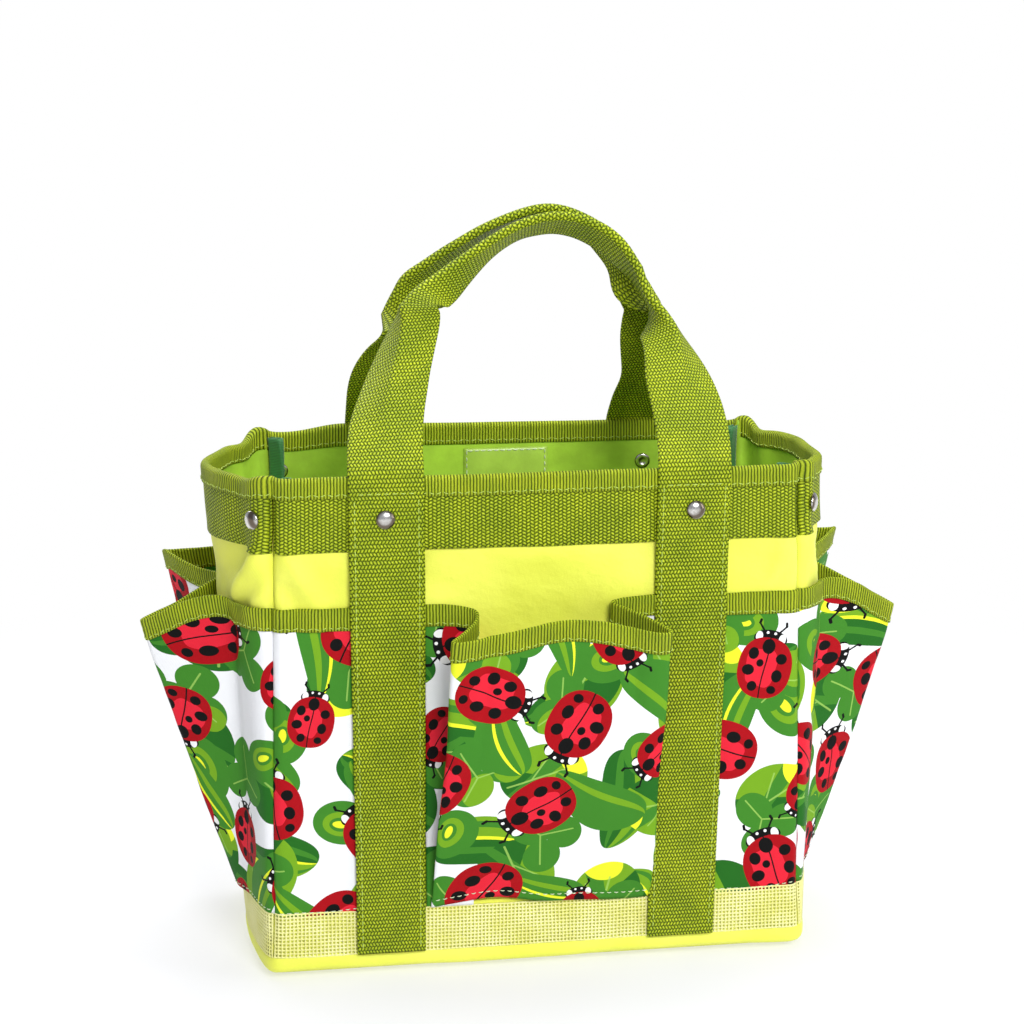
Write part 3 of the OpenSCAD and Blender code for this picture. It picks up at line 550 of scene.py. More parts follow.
def mat_mesh(name):
    N = Nodes(name)
    tw = N.abs(N.sin(N.mul(N.u, math.pi / 0.5)))
    big = N.noise(N.uv, 0.05, 2.0)
    c = N.mix(N.ramp(big, 0.3, 0.7), (0.80, 0.78, 0.24), (0.90, 0.88, 0.40))
    # Painted shade: the strands are darkened a little in the grooves of their twist.
    c = N.mult(c, N.mix(tw, (0.9, 0.9, 0.86), (1, 1, 1)))
    return N.finish(c, 0.42, N.bump(tw, 0.3, 0.06), spec=0.45)

def mat_seam(name):
    N = Nodes(name)
    rib = N.abs(N.sin(N.mul(N.u, math.pi / 0.9)))
    # Painted shade and light: the tape is darker between its ribs and lighter on the rib tops.
    c = N.mix(rib, (0.012, 0.090, 0.018), (0.030, 0.200, 0.045))
    c = N.mult(c, N.mix(N.noise(N.uv, 0.1, 2.0), (0.8, 0.85, 0.8), (1.15, 1.1, 1.1)))
    return N.finish(c, 0.6, N.bump(rib, 0.6, 0.2), sheen=0.2)

def mat_nickel(name):
    N = Nodes(name)
    tc = N.nt.nodes.new("ShaderNodeTexCoord")
    sm = N.noise(tc.outputs["Object"], 900.0, 3.0)
    c = N.mix(N.ramp(sm, 0.35, 0.7), (0.62, 0.60, 0.57), (0.80, 0.79, 0.77))
    # Painted reflection: a dark brown ring is painted where the dome turns partly away from the view (Facing between
    # about 0.02 and 0.52), standing in for dark surroundings mirrored in the metal.
    lw = N.nt.nodes.new("ShaderNodeLayerWeight"); lw.inputs[0].default_value = 0.5
    face = lw.outputs["Facing"]
    c = N.mix(N.mul(N.ramp(face, 0.02, 0.16), N.sub(1.0, N.ramp(face, 0.30, 0.52))), c, (0.16, 0.13, 0.10))
    return N.finish(c, N.mad(sm, 0.14, 0.14), N.bump(sm, 0.06, 0.05), metallic=1.0)

def mat_board(name):
    N = Nodes(name)
    tc = N.nt.nodes.new("ShaderNodeTexCoord")
    f = N.noise(tc.outputs["Object"], 300.0, 4.0)
    c = N.mix(f, (0.20, 0.14, 0.08), (0.36, 0.27, 0.16))
    return N.finish(c, 0.8, N.bump(f, 0.3, 0.2))

# ---- the print: own scatter of leaves and ladybirds on a white ground
def cell_layer(N, pitch, angle, ox, oy, seed, jitter):
    """One motif per lattice cell. Returns local coordinates in mm, turned at random, and three random numbers."""
    ca, sa = math.cos(angle), math.sin(angle)
    x = N.mad(N.u, ca / pitch, N.mad(N.v, sa / pitch, ox))
    y = N.mad(N.u, -sa / pitch, N.mad(N.v, ca / pitch, oy))
    ix, iy = N.m("FLOOR", x), N.m("FLOOR", y)
    wn = N.nt.nodes.new("ShaderNodeTexWhiteNoise"); wn.noise_dimensions = "3D"
    N.nt.links.new(N.vec(ix, iy, seed), wn.inputs["Vector"])
    sep = N.nt.nodes.new("ShaderNodeSeparateColor"); N.nt.links.new(wn.outputs["Color"], sep.inputs[0])
    r1, r2, r3 = sep.outputs
    r4 = wn.outputs["Value"]
    fx = N.mul(N.sub(N.sub(x, ix), N.mad(N.sub(r1, 0.5), jitter, 0.5)), pitch)
    fy = N.mul(N.sub(N.sub(y, iy), N.mad(N.sub(r2, 0.5), jitter, 0.5)), pitch)
    th = N.mul(r3, 2 * math.pi)
    c, s = N.m("COSINE", th), N.sin(th)
    lx = N.add(N.mul(fx, c), N.mul(fy, s))
    ly = N.sub(N.mul(fy, c), N.mul(fx, s))
    return lx, ly, r1, r2, r4
def ell(N, x, y, cx, cy, a, b):
    """1 inside the ellipse."""
    dx = N.mul(N.sub(x, cx) if cx else x, 1 / a); dy = N.mul(N.sub(y, cy) if cy else y, 1 / b)
    return N.lt(N.mad(dx, dx, N.mul(dy, dy)), 1.0)
def seg(N, x, y, x0, y0, x1, y1, r):
    dx, dy = x1 - x0, y1 - y0; L2 = dx * dx + dy * dy
    t = N.m("ADD", N.mul(N.sub(x, x0), dx / L2), N.mul(N.sub(y, y0), dy / L2), clamp=True)
    ex = N.sub(N.sub(x, x0), N.mul(t, dx)); ey = N.sub(N.sub(y, y0), N.mul(t, dy))
    return N.lt(N.mad(ex, ex, N.mul(ey, ey)), r * r)
K_DARK, K_MID, K_LITE, K_YEL = (0.016, 0.140, 0.012), (0.050, 0.235, 0.020), (0.180, 0.390, 0.014), (0.840, 0.920, 0.030)
def leaf(N, col, L, size, keep, swap=False):
    """A long leaf drawn in lengthwise stripes."""
    lx, ly, r1, r2, r4 = L
    sc = N.mul(N.mad(r2, 0.35, 0.85), size)
    x = N.m("DIVIDE", lx, sc); y = N.m("DIVIDE", ly, sc)
    y = N.mad(N.mul(x, x), 0.22, N.sub(y, 0.08))
    w = N.mul(N.m("SQRT", N.mx(N.sub(1.0, N.mul(x, x)), 0.0)), N.mad(x, -0.14, 0.50))
    inside = N.mul(N.lt(N.abs(y), w), N.lt(r4, keep))
    q = N.m("DIVIDE", y, N.mx(w, 0.05))
    c = N.mix(N.gt(q, 0.12), K_DARK if not swap else K_MID, K_LITE if not swap else K_MID)
    c = N.mix(N.mul(N.gt(q, 0.55), N.lt(q, 0.80)), c, K_MID)
    c = N.mix(N.mul(N.gt(q, -0.55), N.lt(q, -0.28)), c, K_MID if not swap else K_LITE)
    c = N.mix(N.mul(N.lt(N.abs(N.sub(q, 0.10)), 0.07), N.lt(r1, 0.6)), c, K_YEL)
    return N.mix(inside, col, c)
def round_leaf(N, col, L, size, keep, lobes=True):
    """A lobed leaf with pale veins, or a rounded leaf with a light edge."""
    lx, ly, r1, r2, r4 = L
    x = N.mul(lx, 1 / size); y = N.mul(ly, 1 / size)
    if lobes:
        shape = N.mx(N.mx(ell(N, x, y, 0.44, 0.34, 0.50, 0.44), ell(N, x, y, -0.44, 0.32, 0.48, 0.46)), ell(N, x, y, 0.0, -0.42, 0.46, 0.54))
        light = N.mx(N.mul(ell(N, x, y, 0.62, 0.34, 0.40, 0.40), ell(N, x, y, 0.44, 0.34, 0.50, 0.44)), N.mul(ell(N, x, y, 0.22, -0.42, 0.40, 0.5), ell(N, x, y, 0.0, -0.42, 0.46, 0.54)))
        c = N.mix(N.mul(light, N.gt(r1, 0.5)), K_MID, K_LITE)
        vein = N.mx(seg(N, x, y, 0, -0.1, 0.66, 0.46, 0.020), N.mx(seg(N, x, y, 0, -0.1, -0.66, 0.44, 0.020), seg(N, x, y, 0, -0.1, 0, -0.80, 0.020)))
    else:
        shape = ell(N, x, y, 0, 0, 0.95, 0.78)
        c = N.mix(N.lt(N.mad(x, 0.35, y), -0.02), K_LITE, K_DARK)
        c = N.mix(N.mul(N.gt(y, N.mad(x, 0.7, -0.05)), N.lt(y, N.mad(x, 0.9, 0.32))), c, K_MID)
        c = N.mix(ell(N, x, y, 0.74, 0.42, 0.40, 0.46), c, K_YEL)
        vein = N.mx(seg(N, x, y, -0.8, -0.2, 0.5, 0.12, 0.022), seg(N, x, y, -0.3, -0.08, 0.15, 0.55, 0.018))
    c = N.mix(N.mul(vein, 0.7), c, (0.36, 0.62, 0.12))
    return N.mix(N.mul(shape, N.lt(r4, keep)), col, c)
def pod(N, col, L, size, keep):
    """Nested ovals: dark, light, bright."""
    lx, ly, r1, r2, r4 = L
    sc = N.mul(N.mad(r1, 0.4, 0.75), size)
    x = N.m("DIVIDE", lx, sc); y = N.m("DIVIDE", ly, sc)
    c = N.mix(ell(N, x, y, 0.05, 0.06, 0.58, 0.42), K_MID, K_LITE)
    c = N.mix(ell(N, x, y, 0.07, 0.08, 0.34, 0.24), c, K_MID)
    c = N.mix(ell(N, x, y, 0.07, 0.08, 0.24, 0.12), c, K_YEL)
    return N.mix(N.mul(ell(N, x, y, 0, 0, 0.95, 0.76), N.lt(r4, keep)), col, c)
def bug(N, col, L, size, keep):
    lx, ly, r1, r2, r4 = L
    sc = N.mul(N.mad(r1, 0.30, 0.86), size)
    x = N.m("DIVIDE", lx, sc); y = N.m("DIVIDE", ly, sc)
    ay = N.abs(y)
    keep_it = N.lt(r4, keep)
    black = (0.002, 0.002, 0.002)
    ant = N.mx(seg(N, x, ay, 1.08, 0.16, 1.40, 0.42, 0.028), seg(N, x, ay, 1.40, 0.42, 1.50, 0.40, 0.040))
    col = N.mix(N.mul(ant, keep_it), col, black)
    head = ell(N, x, y, 0.94, 0, 0.29, 0.52)
    col = N.mix(N.mul(head, keep_it), col, black)
    eye = N.mx(ell(N, x, ay, 0.98, 0.36, 0.16, 0.11), ell(N, x, ay, 1.13, 0.12, 0.045, 0.045))
    col = N.mix(N.mul(eye, keep_it), col, (0.90, 0.91, 0.90))
    wob = N.mad(N.sin(N.mad(x, 7.0, N.mul(r2, 9.0))), 0.05, N.mul(N.sin(N.mul(y, 9.0)), 0.06))
    c = (0.400, 0.001, 0.006)
    rr = N.m("SQRT", N.add(N.mul(N.mul(N.sub(x, 0.02), N.sub(x, 0.02)), 1.15), N.mul(N.mul(N.sub(y, 0.10), N.sub(y, 0.10)), 1.9)))
    c = N.mix(N.lt(N.add(rr, wob), 0.66), c, (0.780, 0.018, 0.040))
    spots = N.mx(ell(N, x, y, 0.42, 0.42, 0.19, 0.16), ell(N, x, y, 0.36, -0.46, 0.17, 0.17))
    spots = N.mx(spots, N.mx(ell(N, x, y, -0.12, 0.50, 0.17, 0.19), ell(N, x, y, -0.20, -0.42, 0.20, 0.16)))
    spots = N.mx(spots, N.mx(ell(N, x, y, -0.62, 0.28, 0.16, 0.15), ell(N, x, y, 0.14, 0.17, 0.12, 0.11)))
    spots = N.mx(spots, N.mx(ell(N, x, y, -0.66, -0.34, 0.13, 0.14), ell(N, x, y, 0.70, 0.0, 0.24, 0.20)))
    line = N.lt(N.abs(N.mad(N.sin(N.mul(x, 3.0)), 0.03, y)), 0.020)
    c = N.mix(N.mx(spots, line), c, black)
    body = N.lt(N.add(N.m("POWER", N.abs(N.mul(x, 1 / 0.98)), 2.3), N.m("POWER", N.mul(ay, 1 / 0.84), 2.3)), 1.0)
    return N.mix(N.mul(body, keep_it), col, c)
def mat_print(name):
    N = Nodes(name)
    col = (0.90, 0.91, 0.93)
    col = leaf(N, col, cell_layer(N, 66, 0.30, 0.10, 0.35, 1.0, 0.20), 27.0, 0.90)
    col = round_leaf(N, col, cell_layer(N, 58, 1.25, 0.62, 0.15, 2.0, 0.20), 23.0, 0.90, lobes=False)
    col = pod(N, col, cell_layer(N, 56, 2.00, 0.30, 0.71, 3.0, 0.25), 18.5, 0.85)
    col = round_leaf(N, col, cell_layer(N, 52, 0.70, 0.85, 0.48, 4.0, 0.16), 20.0, 0.92)
    col = leaf(N, col, cell_layer(N, 68, 2.60, 0.40, 0.05, 7.0, 0.25), 24.0, 0.70, swap=True)
    col = bug(N, col, cell_layer(N, 72, 0.40, 0.45, 0.80, 5.0, 0.09), 16.0, 0.96)
    col = bug(N, col, cell_layer(N, 72, 0.40, 0.95, 0.30, 6.0, 0.09), 19.0, 0.90)
    h = weave(N, 0.66, 0.60)
    crease = N.noise(N.uv, 0.045, 4.0, 0.6)
    # Painted shade: the print is darkened in the gaps of the weave, where h is low.
    col = N.mult(col, N.mix(h, (0.84, 0.84, 0.84), (1.03, 1.03, 1.03)))
    n = N.bump(crease, 0.30, 1.8)
    n = N.bump(h, 0.5, 0.16, n)
    return N.finish(col, 0.56, n, spec=0.12)

M_web = mat_webbing("webbing"); M_band = mat_webbing("band_webbing", 1.0)
M_tape = mat_tape("grosgrain"); M_body = mat_body("body_cloth"); M_lin = mat_lining("coated_lining")
M_label = mat_lining("label_cloth", (0.40, 0.60, 0.07))
M_print = mat_print("printed_cloth"); M_mesh = mat_mesh("open_mesh"); M_seam = mat_seam("seam_tape")
M_thread = mat_thread("lime_thread", (0.52, 0.68, 0.09)); M_thread2 = mat_thread("pale_thread", (0.74, 0.84, 0.55))
M_thread_dk = mat_thread("olive_thread", (0.22, 0.34, 0.03))
M_nickel = mat_nickel("nickel"); M_board = mat_board("board")

ROOT = "bag"
def root(ob, *nodes, slot=None):
    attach(ob, ROOT)
    if nodes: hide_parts(*nodes)
    return ob

L_LIN, L_BODY, L_POCKET, L_MESH, L_BAND, L_STRAP = (-1.9, -1.15), (-1.0, 0.0), (0.8, 1.5), (1.6, 2.2), (0.2, 1.75), (2.6, 4.4)
SIDES = ["front", "right", "back", "left"]

# ================================================================ body, lining, bands
EPS = 0.0015
EAR = np.array([1.3, 1.6, 3.6, 4.0])
def rim_wave(U, z):
    um = np.mod(U, 4); d, c = corner_dist(um, H); k = np.floor(um).astype(int); t = um - k
    ds = np.where((c == 0) | (c == 2), -d, d)
    w = EAR[c] * gauss(ds - 4.0, 5.5) - 1.6 * gauss(ds - 18.0, 10.0) + 0.25 * np.sin(U * 13)
    w = w - np.where(k % 2 == 1, 1.6 * np.sin(np.pi * t), 0.4 * np.sin(np.pi * t))
    # the back wall stands a little higher than the front one
    win = sstep(0.05, 0.22, t) * sstep(0.03, 0.16, 1 - t)
    w = w + np.where(k == 2, win * (3.0 + 1.8 * gauss(t - 0.80, 0.16)), 0)
    return w * sstep(H - TAPE - 6, H - 2, z) ** 0.6
def top_at(low, under): return lambda u: (low + 0 * u, H - under + rim_wave(u, H))
for k, s in enumerate(SIDES):
    ob = wall_piece("body_cloth_" + s, M_body, k + EPS, k + 1 - EPS, 4.0, H - 1.6, L_BODY, step=(2.6, 2.6), zf=top_at(4.0, 2.2))
    root(ob, "body_panel_" + s, slot="body_fabric")
    ob = wall_piece("lining_cloth_" + s, M_lin, k + EPS, k + 1 - EPS, 4.0, H - 1.6, L_LIN, step=(3.2, 3.2), zf=top_at(4.0, 2.2))
    root(ob, "lining_" + s, slot="coated_lining")
    ob = wall_piece("rim_band_" + s, M_band, k + EPS * 2, k + 1 - EPS * 2, BAND_Z, H - 1.6, L_BAND, step=(2.4, 2.4), lip=0.6, uv_swap=True, zf=top_at(BAND_Z, 2.4),
                    extra=lambda U, Z: 0.25 * np.sin(U * 40) * sstep(H - 20, BAND_Z, Z))
    # across the band is v of the wall: centre it across the band
    me = ob.data; uvl = me.uv_layers[0].data
    a = np.zeros(len(uvl) * 2, np.float32); uvl.foreach_get("uv", a); a = a.reshape(-1, 2); a[:, 0] -= (BAND_Z + WEB / 2)
    uvl.foreach_set("uv", a.ravel())
    root(ob, "band_" + s, slot="webbing")

# bottom panel, board and lining floor follow the outline
def outline_ring(z, off, C=360):
    U = np.linspace(0, 4, C, endpoint=False)
    return wall(U, z + 0 * U, off + 0 * U)
def disc(name, mat, z0, z1, off, C=240, slot=None, sag=0.0):
    ring = outline_ring(4.0, off, C)
    c = np.array([0, 0, 0.0])
    T = np.linspace(1, 0.02, 26)
    P = c + (ring[None] - c) * T[:, None, None]
    Zt = z1 + sag * (1 - T ** 2)[:, None] * np.ones((1, C)) + 0.25 * fbm(P[..., 0] / 40, P[..., 1] / 30, 5) * (1 - T[:, None] ** 6)
    A = P.copy(); A[..., 2] = Zt
    A2 = P.copy(); A2[..., 2] = z0
    UV = np.concatenate([P[..., :2], P[:, :1, :2]], axis=1)
    B = Build(); shell_part(B, A, A2, UV, wrap_c=True)
    n0 = len(T) - 1
    # close the little hole in the middle
    R = len(T)
    cen = np.array([[0, 0, Zt[-1].mean()], [0, 0, z0]])
    base = B.n; idx = np.arange(C)
    B.v.append(cen); B.w.append(np.zeros(2)); B.n += 2
    top = np.stack([(R - 1) * C + idx, (R - 1) * C + (idx + 1) % C, np.full(C, base)], -1)
    bot = np.stack([R * C + idx, R * C + (idx + 1) % C, np.full(C, base + 1)], -1)
    # the shell closed its rows with a quad ring between the two sheets at the middle: drop it
    f, u = B.f[0], B.uv[0]
    keep = ~(((f // C) == R - 1).any(1) & ((f // C) == R).any(1))
    B.f[0], B.uv[0] = f[keep], u[keep]
    B.f.append(top); B.uv.append(np.zeros((C, 3, 2))); B.f.append(bot); B.uv.append(np.zeros((C, 3, 2)))
    ob, _ = B.make(name, mat)
    return ob
root(disc("base_cloth", M_body, 0.0, 0.8, -17.0), "base_panel", slot="body_fabric")
root(disc("stiff_board", M_board, 3.0, 4.6, -2.9), "base_board", slot="stiffening_board")
root(disc("lining_floor", M_lin, 4.9, 5.6, -2.6), "lining_base", slot="coated_lining")

# rolled edge round the foot
def ring_sweep(name, mat, prof, C=420, uv_across=None, n_wave=None):
    """prof: list of (z, off) closed section, first half outer then inner back."""
    U = np.linspace(0, 4, C, endpoint=False)
    rows = []
    for (z, off) in prof:
        zz = z + (n_wave(U, z) if n_wave else 0)
        rows.append(wall(U, zz, off + 0 * U))
    P = np.array(rows)
    Um = np.concatenate([u_mm(U, H), [2 * Lf(H) + 2 * Ls(H)]])
    acc = [0.0]
    for a, b in zip(prof[:-1], prof[1:]): acc.append(acc[-1] + math.hypot(b[0] - a[0], b[1] - a[1]))
    acc.append(acc[-1] + math.hypot(prof[0][0] - prof[-1][0], prof[0][1] - prof[-1][1]))
    UV = np.stack(np.broadcast_arrays(Um[None], np.array(acc)[:, None]), -1)
    f, u = grid_part(P, UV, wrap_c=True, wrap_r=True)
    B = Build(); B.add(P.reshape(-1, 3), [f], [u])
    ob, _ = B.make(name, mat)
    return ob
roll = [(ROLL + 1.2, 0.9), (ROLL + 0.4, 1.35), (ROLL - 0.8, 1.9), (ROLL - 2.6, 2.3), (8.4, 2.55), (7.0, 2.5), (5.8, 2.1), (4.7, 1.2), (3.7, -0.4),
        (2.8, -2.6), (1.9, -5.6), (1.1, -9.0), (0.5, -12.5), (0.15, -16.0), (0.05, -20.0), (0.9, -20.0), (1.0, -12.0), (2.3, -5.6), (3.5, -2.0), (5.0, 0.0), (8.0, 0.2), (ROLL + 1.0, 0.2)]
ob = ring_sweep("rolled_foot", M_body, roll, n_wave=lambda U, z: (0.35 * np.sin(U * 11) + 0.3 * np.sin(U * 23 + 1) + 0.5 * noise(U * 9, 0 * U, 77)) * float(z > 2.5))
root(ob, "base_roll", slot="body_fabric")

# tape folded over the rim
def u_profile(z_low, z_top, o_out, o_in, t, n=7, low_in=None):
    """Outer curve over the edge and back down, then the inner curve: a folded tape."""
    r = (o_out - o_in) / 2; mid = (o_out + o_in) / 2
    zc = z_top - r
    out = [(z, o_out) for z in np.linspace(z_low, zc, n)]
    out += [(zc + r * math.sin(a), mid + r * math.cos(a)) for a in np.linspace(0, math.pi, 9)[1:-1]]
    out += [(z, o_in) for z in np.linspace(zc, z_low if low_in is None else low_in, n)]
    ri = r - t
    inn = [(z, o_in + t) for z in np.linspace(z_low if low_in is None else low_in, zc, n)]
    inn += [(zc + ri * math.sin(a), mid + ri * math.cos(a)) for a in np.linspace(math.pi, 0, 9)[1:-1]]
    inn += [(z, o_out - t) for z in np.linspace(zc, z_low, n)]
    return out + inn
ob = ring_sweep("rim_tape", M_tape, u_profile(H - TAPE, H - 0.4, 2.55, -2.75, 0.62), C=560, n_wave=rim_wave)
root(ob, "rim_binding", slot="grosgrain_tape")

# stitching along the rim tape, outside and inside
B = Build()
for off, zz in ((2.62, H - TAPE + 1.7), (-2.85, H - TAPE + 1.7)):
    U = np.linspace(0, 4, 900); Z = zz + rim_wave(U, zz)
    P = wall(U, Z, off + 0 * U); Nn = wall_n(U, Z) * (1 if off > 0 else -1)
    stitches(B, P, Nn, length=2.7, gap=0.9, r=0.27, tilt=0.32, alt=True)
ob, _ = B.make("rim_stitches", M_thread); root(ob, slot="grosgrain_tape")

# ================================================================ sheets and tapes along free curves
def grid_normals(P):
    du = np.gradient(P, axis=1); dv = np.gradient(P, axis=0)
    n = np.cross(du, dv)
    return n / np.maximum(np.linalg.norm(n, axis=-1, keepdims=True), 1e-9)
def sheet(B, P, UV, t0, t1, w=None, N=None, lip=0.0):
    """A sheet with its middle surface P. Rows go up, columns go along; t0 inner and t1 outer, along the normal."""
    N = grid_normals(P) if N is None else N
    shell_part(B, P + N * t1, P + N * t0, UV, w=w, lip=lip)
def smooth1(A, k=2):
    A = np.array(A, float)
    for _ in range(k):
        A[1:-1] = (A[:-2] + 2 * A[1:-1] + A[2:]) / 4
    return A
def edge_tape(B, P, UP, N, s, w=None, width=TAPE, half=1.15, t=0.6, over=0.9, back=None, wave=0.35, seed=1, stitch=None, Wst=None):
    """Tape folded over an edge. P: edge points, UP: up along the cloth, N: outward, s: millimetres along."""
    UP = UP / np.linalg.norm(UP, axis=1, keepdims=True)
    N = N / np.linalg.norm(N, axis=1, keepdims=True)
    wv = wave * (noise(s / 17.0, 0 * s, seed) + 0.5 * noise(s / 6.0, 0 * s, seed + 3))
    wl = wave * 1.3 * noise(s / 23.0, 0 * s + 5, seed)
    zc = over - half
    zs = list(np.linspace(-width, zc, 7)); back = width if back is None else back
    prof_o = [(z, half) for z in zs] + [(zc + half * math.sin(a), half * math.cos(a)) for a in np.linspace(0, math.pi, 9)[1:-1]] + [(z, -half) for z in np.linspace(zc, -back, 7)]
    hi = half - t
    prof_i = [(z, hi) for z in zs] + [(zc + hi * math.sin(a), hi * math.cos(a)) for a in np.linspace(0, math.pi, 9)[1:-1]] + [(z, -hi) for z in np.linspace(zc, -back, 7)]
    def rows(prof):
        out = []
        for z, o in prof:
            f = sstep(-width, zc, z) if o > 0 else 1.0
            zz = z + wv * sstep(-width * 0.5, 0, z) * 0.6 + wl * (1 - sstep(-width, -width * 0.4, z))
            oo = o + (0.35 * noise(s / 9.0, 0 * s + z, seed + 7) * (1 - f) if o > 0 else 0)
            out.append(P + UP * zz[:, None] + N * (oo * np.ones(len(s)))[:, None])
        return np.array(out)
    A, A2 = rows(prof_o), rows(prof_i)
    acc = np.concatenate([[0], np.cumsum([math.hypot(b[0] - a[0], b[1] - a[1]) for a, b in zip(prof_o[:-1], prof_o[1:])])])
    UV = np.stack(np.broadcast_arrays(s[None], acc[:, None]), -1)
    W = None if w is None else np.broadcast_to(w, A.shape[:2])
    shell_part(B, A, A2, UV, w=W)
    if stitch is not None:
        ww = None if w is None else w
        for sg in (1, -1):
            Q = P + UP * (-(width if sg > 0 else back) + 1.5 + wl)[:, None] + N * (sg * (half + 0.02))
            stitches(stitch, Q, N * sg, W=ww, length=2.7, gap=0.9, r=0.27, tilt=0.32, alt=True)

def u_front(x, z, side=0):
    """Outline parameter of a point with this x on the front (side 0) or back (side 2)."""
    hw = half_w(z)
    return (x + hw) / (2 * hw) if side == 0 else 2 + (hw - x) / (2 * hw)
def u_side(y, right=True):
    return 1 + (y / HD + 1) / 2 if right else 3 + (1 - y / HD) / 2

POCKET_Z = 199.0
Z_FOOT = 36.7
PM = (L_POCKET[0] + L_POCKET[1]) / 2

# ---------------------------------------------------------------- flat printed panels, front and back
HEM = 35.6
def hem(x):
    return HEM + 0.8 * np.sin(x / 19.0) + 0.5 * np.sin(x / 7.3 + 1)
for k, s in ((0, "front"), (2, "back")):
    B, BT, BS, BH = Build(), Build(), Build(), Build()
    for sg in (-1, 1):
        X = np.linspace(sg * 61.5, sg * (half_w(150) - 0.1), 46)
        if (sg < 0) == (k == 0): X = X[::-1]
        R = 62
        T = np.linspace(0, 1, R)[:, None]
        Z = hem(X)[None] * (1 - T) + (POCKET_Z + 0 * X)[None] * T
        Xc = X[None] * (1 + 0 * T)
        fac = (half_w(Z) - 0.1) / (half_w(150) - 0.1)
        U = u_front(Xc * lerp(1.0, fac, sstep(61.5, half_w(150), np.abs(Xc))), Z, k)
        P = wall(U, Z, PM)
        UV = np.stack([u_mm(U, Z), Z], -1)
        Nn = wall_n(U, Z)
        sheet(B, P, UV, -0.35, 0.35, N=Nn)
        top, N1 = P[-1], Nn[-1]
        sT = arclen(top)
        UPv = P[-1] - P[-5]
        edge_tape(BT, top, UPv, N1, sT + 300 * (sg + 1), seed=11 + sg + k, stitch=BS)
        # hem seam
        zz = hem(X) + 1.7
        Uh = u_front(X, zz, k)
        stitches(BH, wall(Uh, zz, L_POCKET[1] + 0.05), wall_n(Uh, zz), length=2.6, gap=1.2, r=0.27)
    root(B.make("print_panel_" + s, M_print)[0], "pocket_panel_" + s, slot="printed_fabric")
    root(BT.make("flat_tape_" + s, M_tape)[0], "pocket_bindings_" + s, slot="grosgrain_tape")
    root(BS.make("flat_tape_stitches_" + s, M_thread)[0], slot="grosgrain_tape")
    root(BH.make("hem_stitches_" + s, M_thread2)[0], slot="grosgrain_tape")

# ---------------------------------------------------------------- bellows pockets
MOUTH = [(-60.5, -66.7, 199.5), (-50, -67.5, 199.3), (-39, -69.8, 198), (-34.2, -73.2, 196.6), (-35.2, -78.2, 193.6), (-40, -84.5, 190.8), (-45.5, -91.0, 188.6),
         (-48.6, -95.2, 187.9), (-46.4, -98.2, 187.8), (-38, -98.0, 188.6), (-20, -96.0, 191.5), (0, -94.0, 195.3), (12, -93.5, 196.2), (28, -94.5, 194.5),
         (44, -97.0, 190.8), (55, -98.6, 188.9), (60.4, -97.2, 189.0), (58.6, -92.5, 190.4), (51, -84.5, 193.4), (42, -76.8, 196.6), (36.6, -72.4, 198.2), (36.4, -69.6, 199.0),
         (42, -68.0, 199.6), (50, -67.2, 200.0), (60.5, -66.7, 200.3)]
FLOORC = [(-60.5, -66.35), (-50, -66.35), (-39, -66.35), (-36.0, -66.5), (-38, -66.95), (-44, -67.05), (-52, -67.05),
          (-57.2, -67.15), (-57.4, -67.8), (-50, -68.1), (-24, -68.3), (0, -68.4), (12, -68.4), (28, -68.3), (46, -68.1), (56, -67.95), (57.9, -67.6),
          (56.6, -67.1), (50, -67.0), (43, -66.95), (38.0, -66.7), (37.6, -66.45), (43, -66.35), (50, -66.35), (60.5, -66.35)]
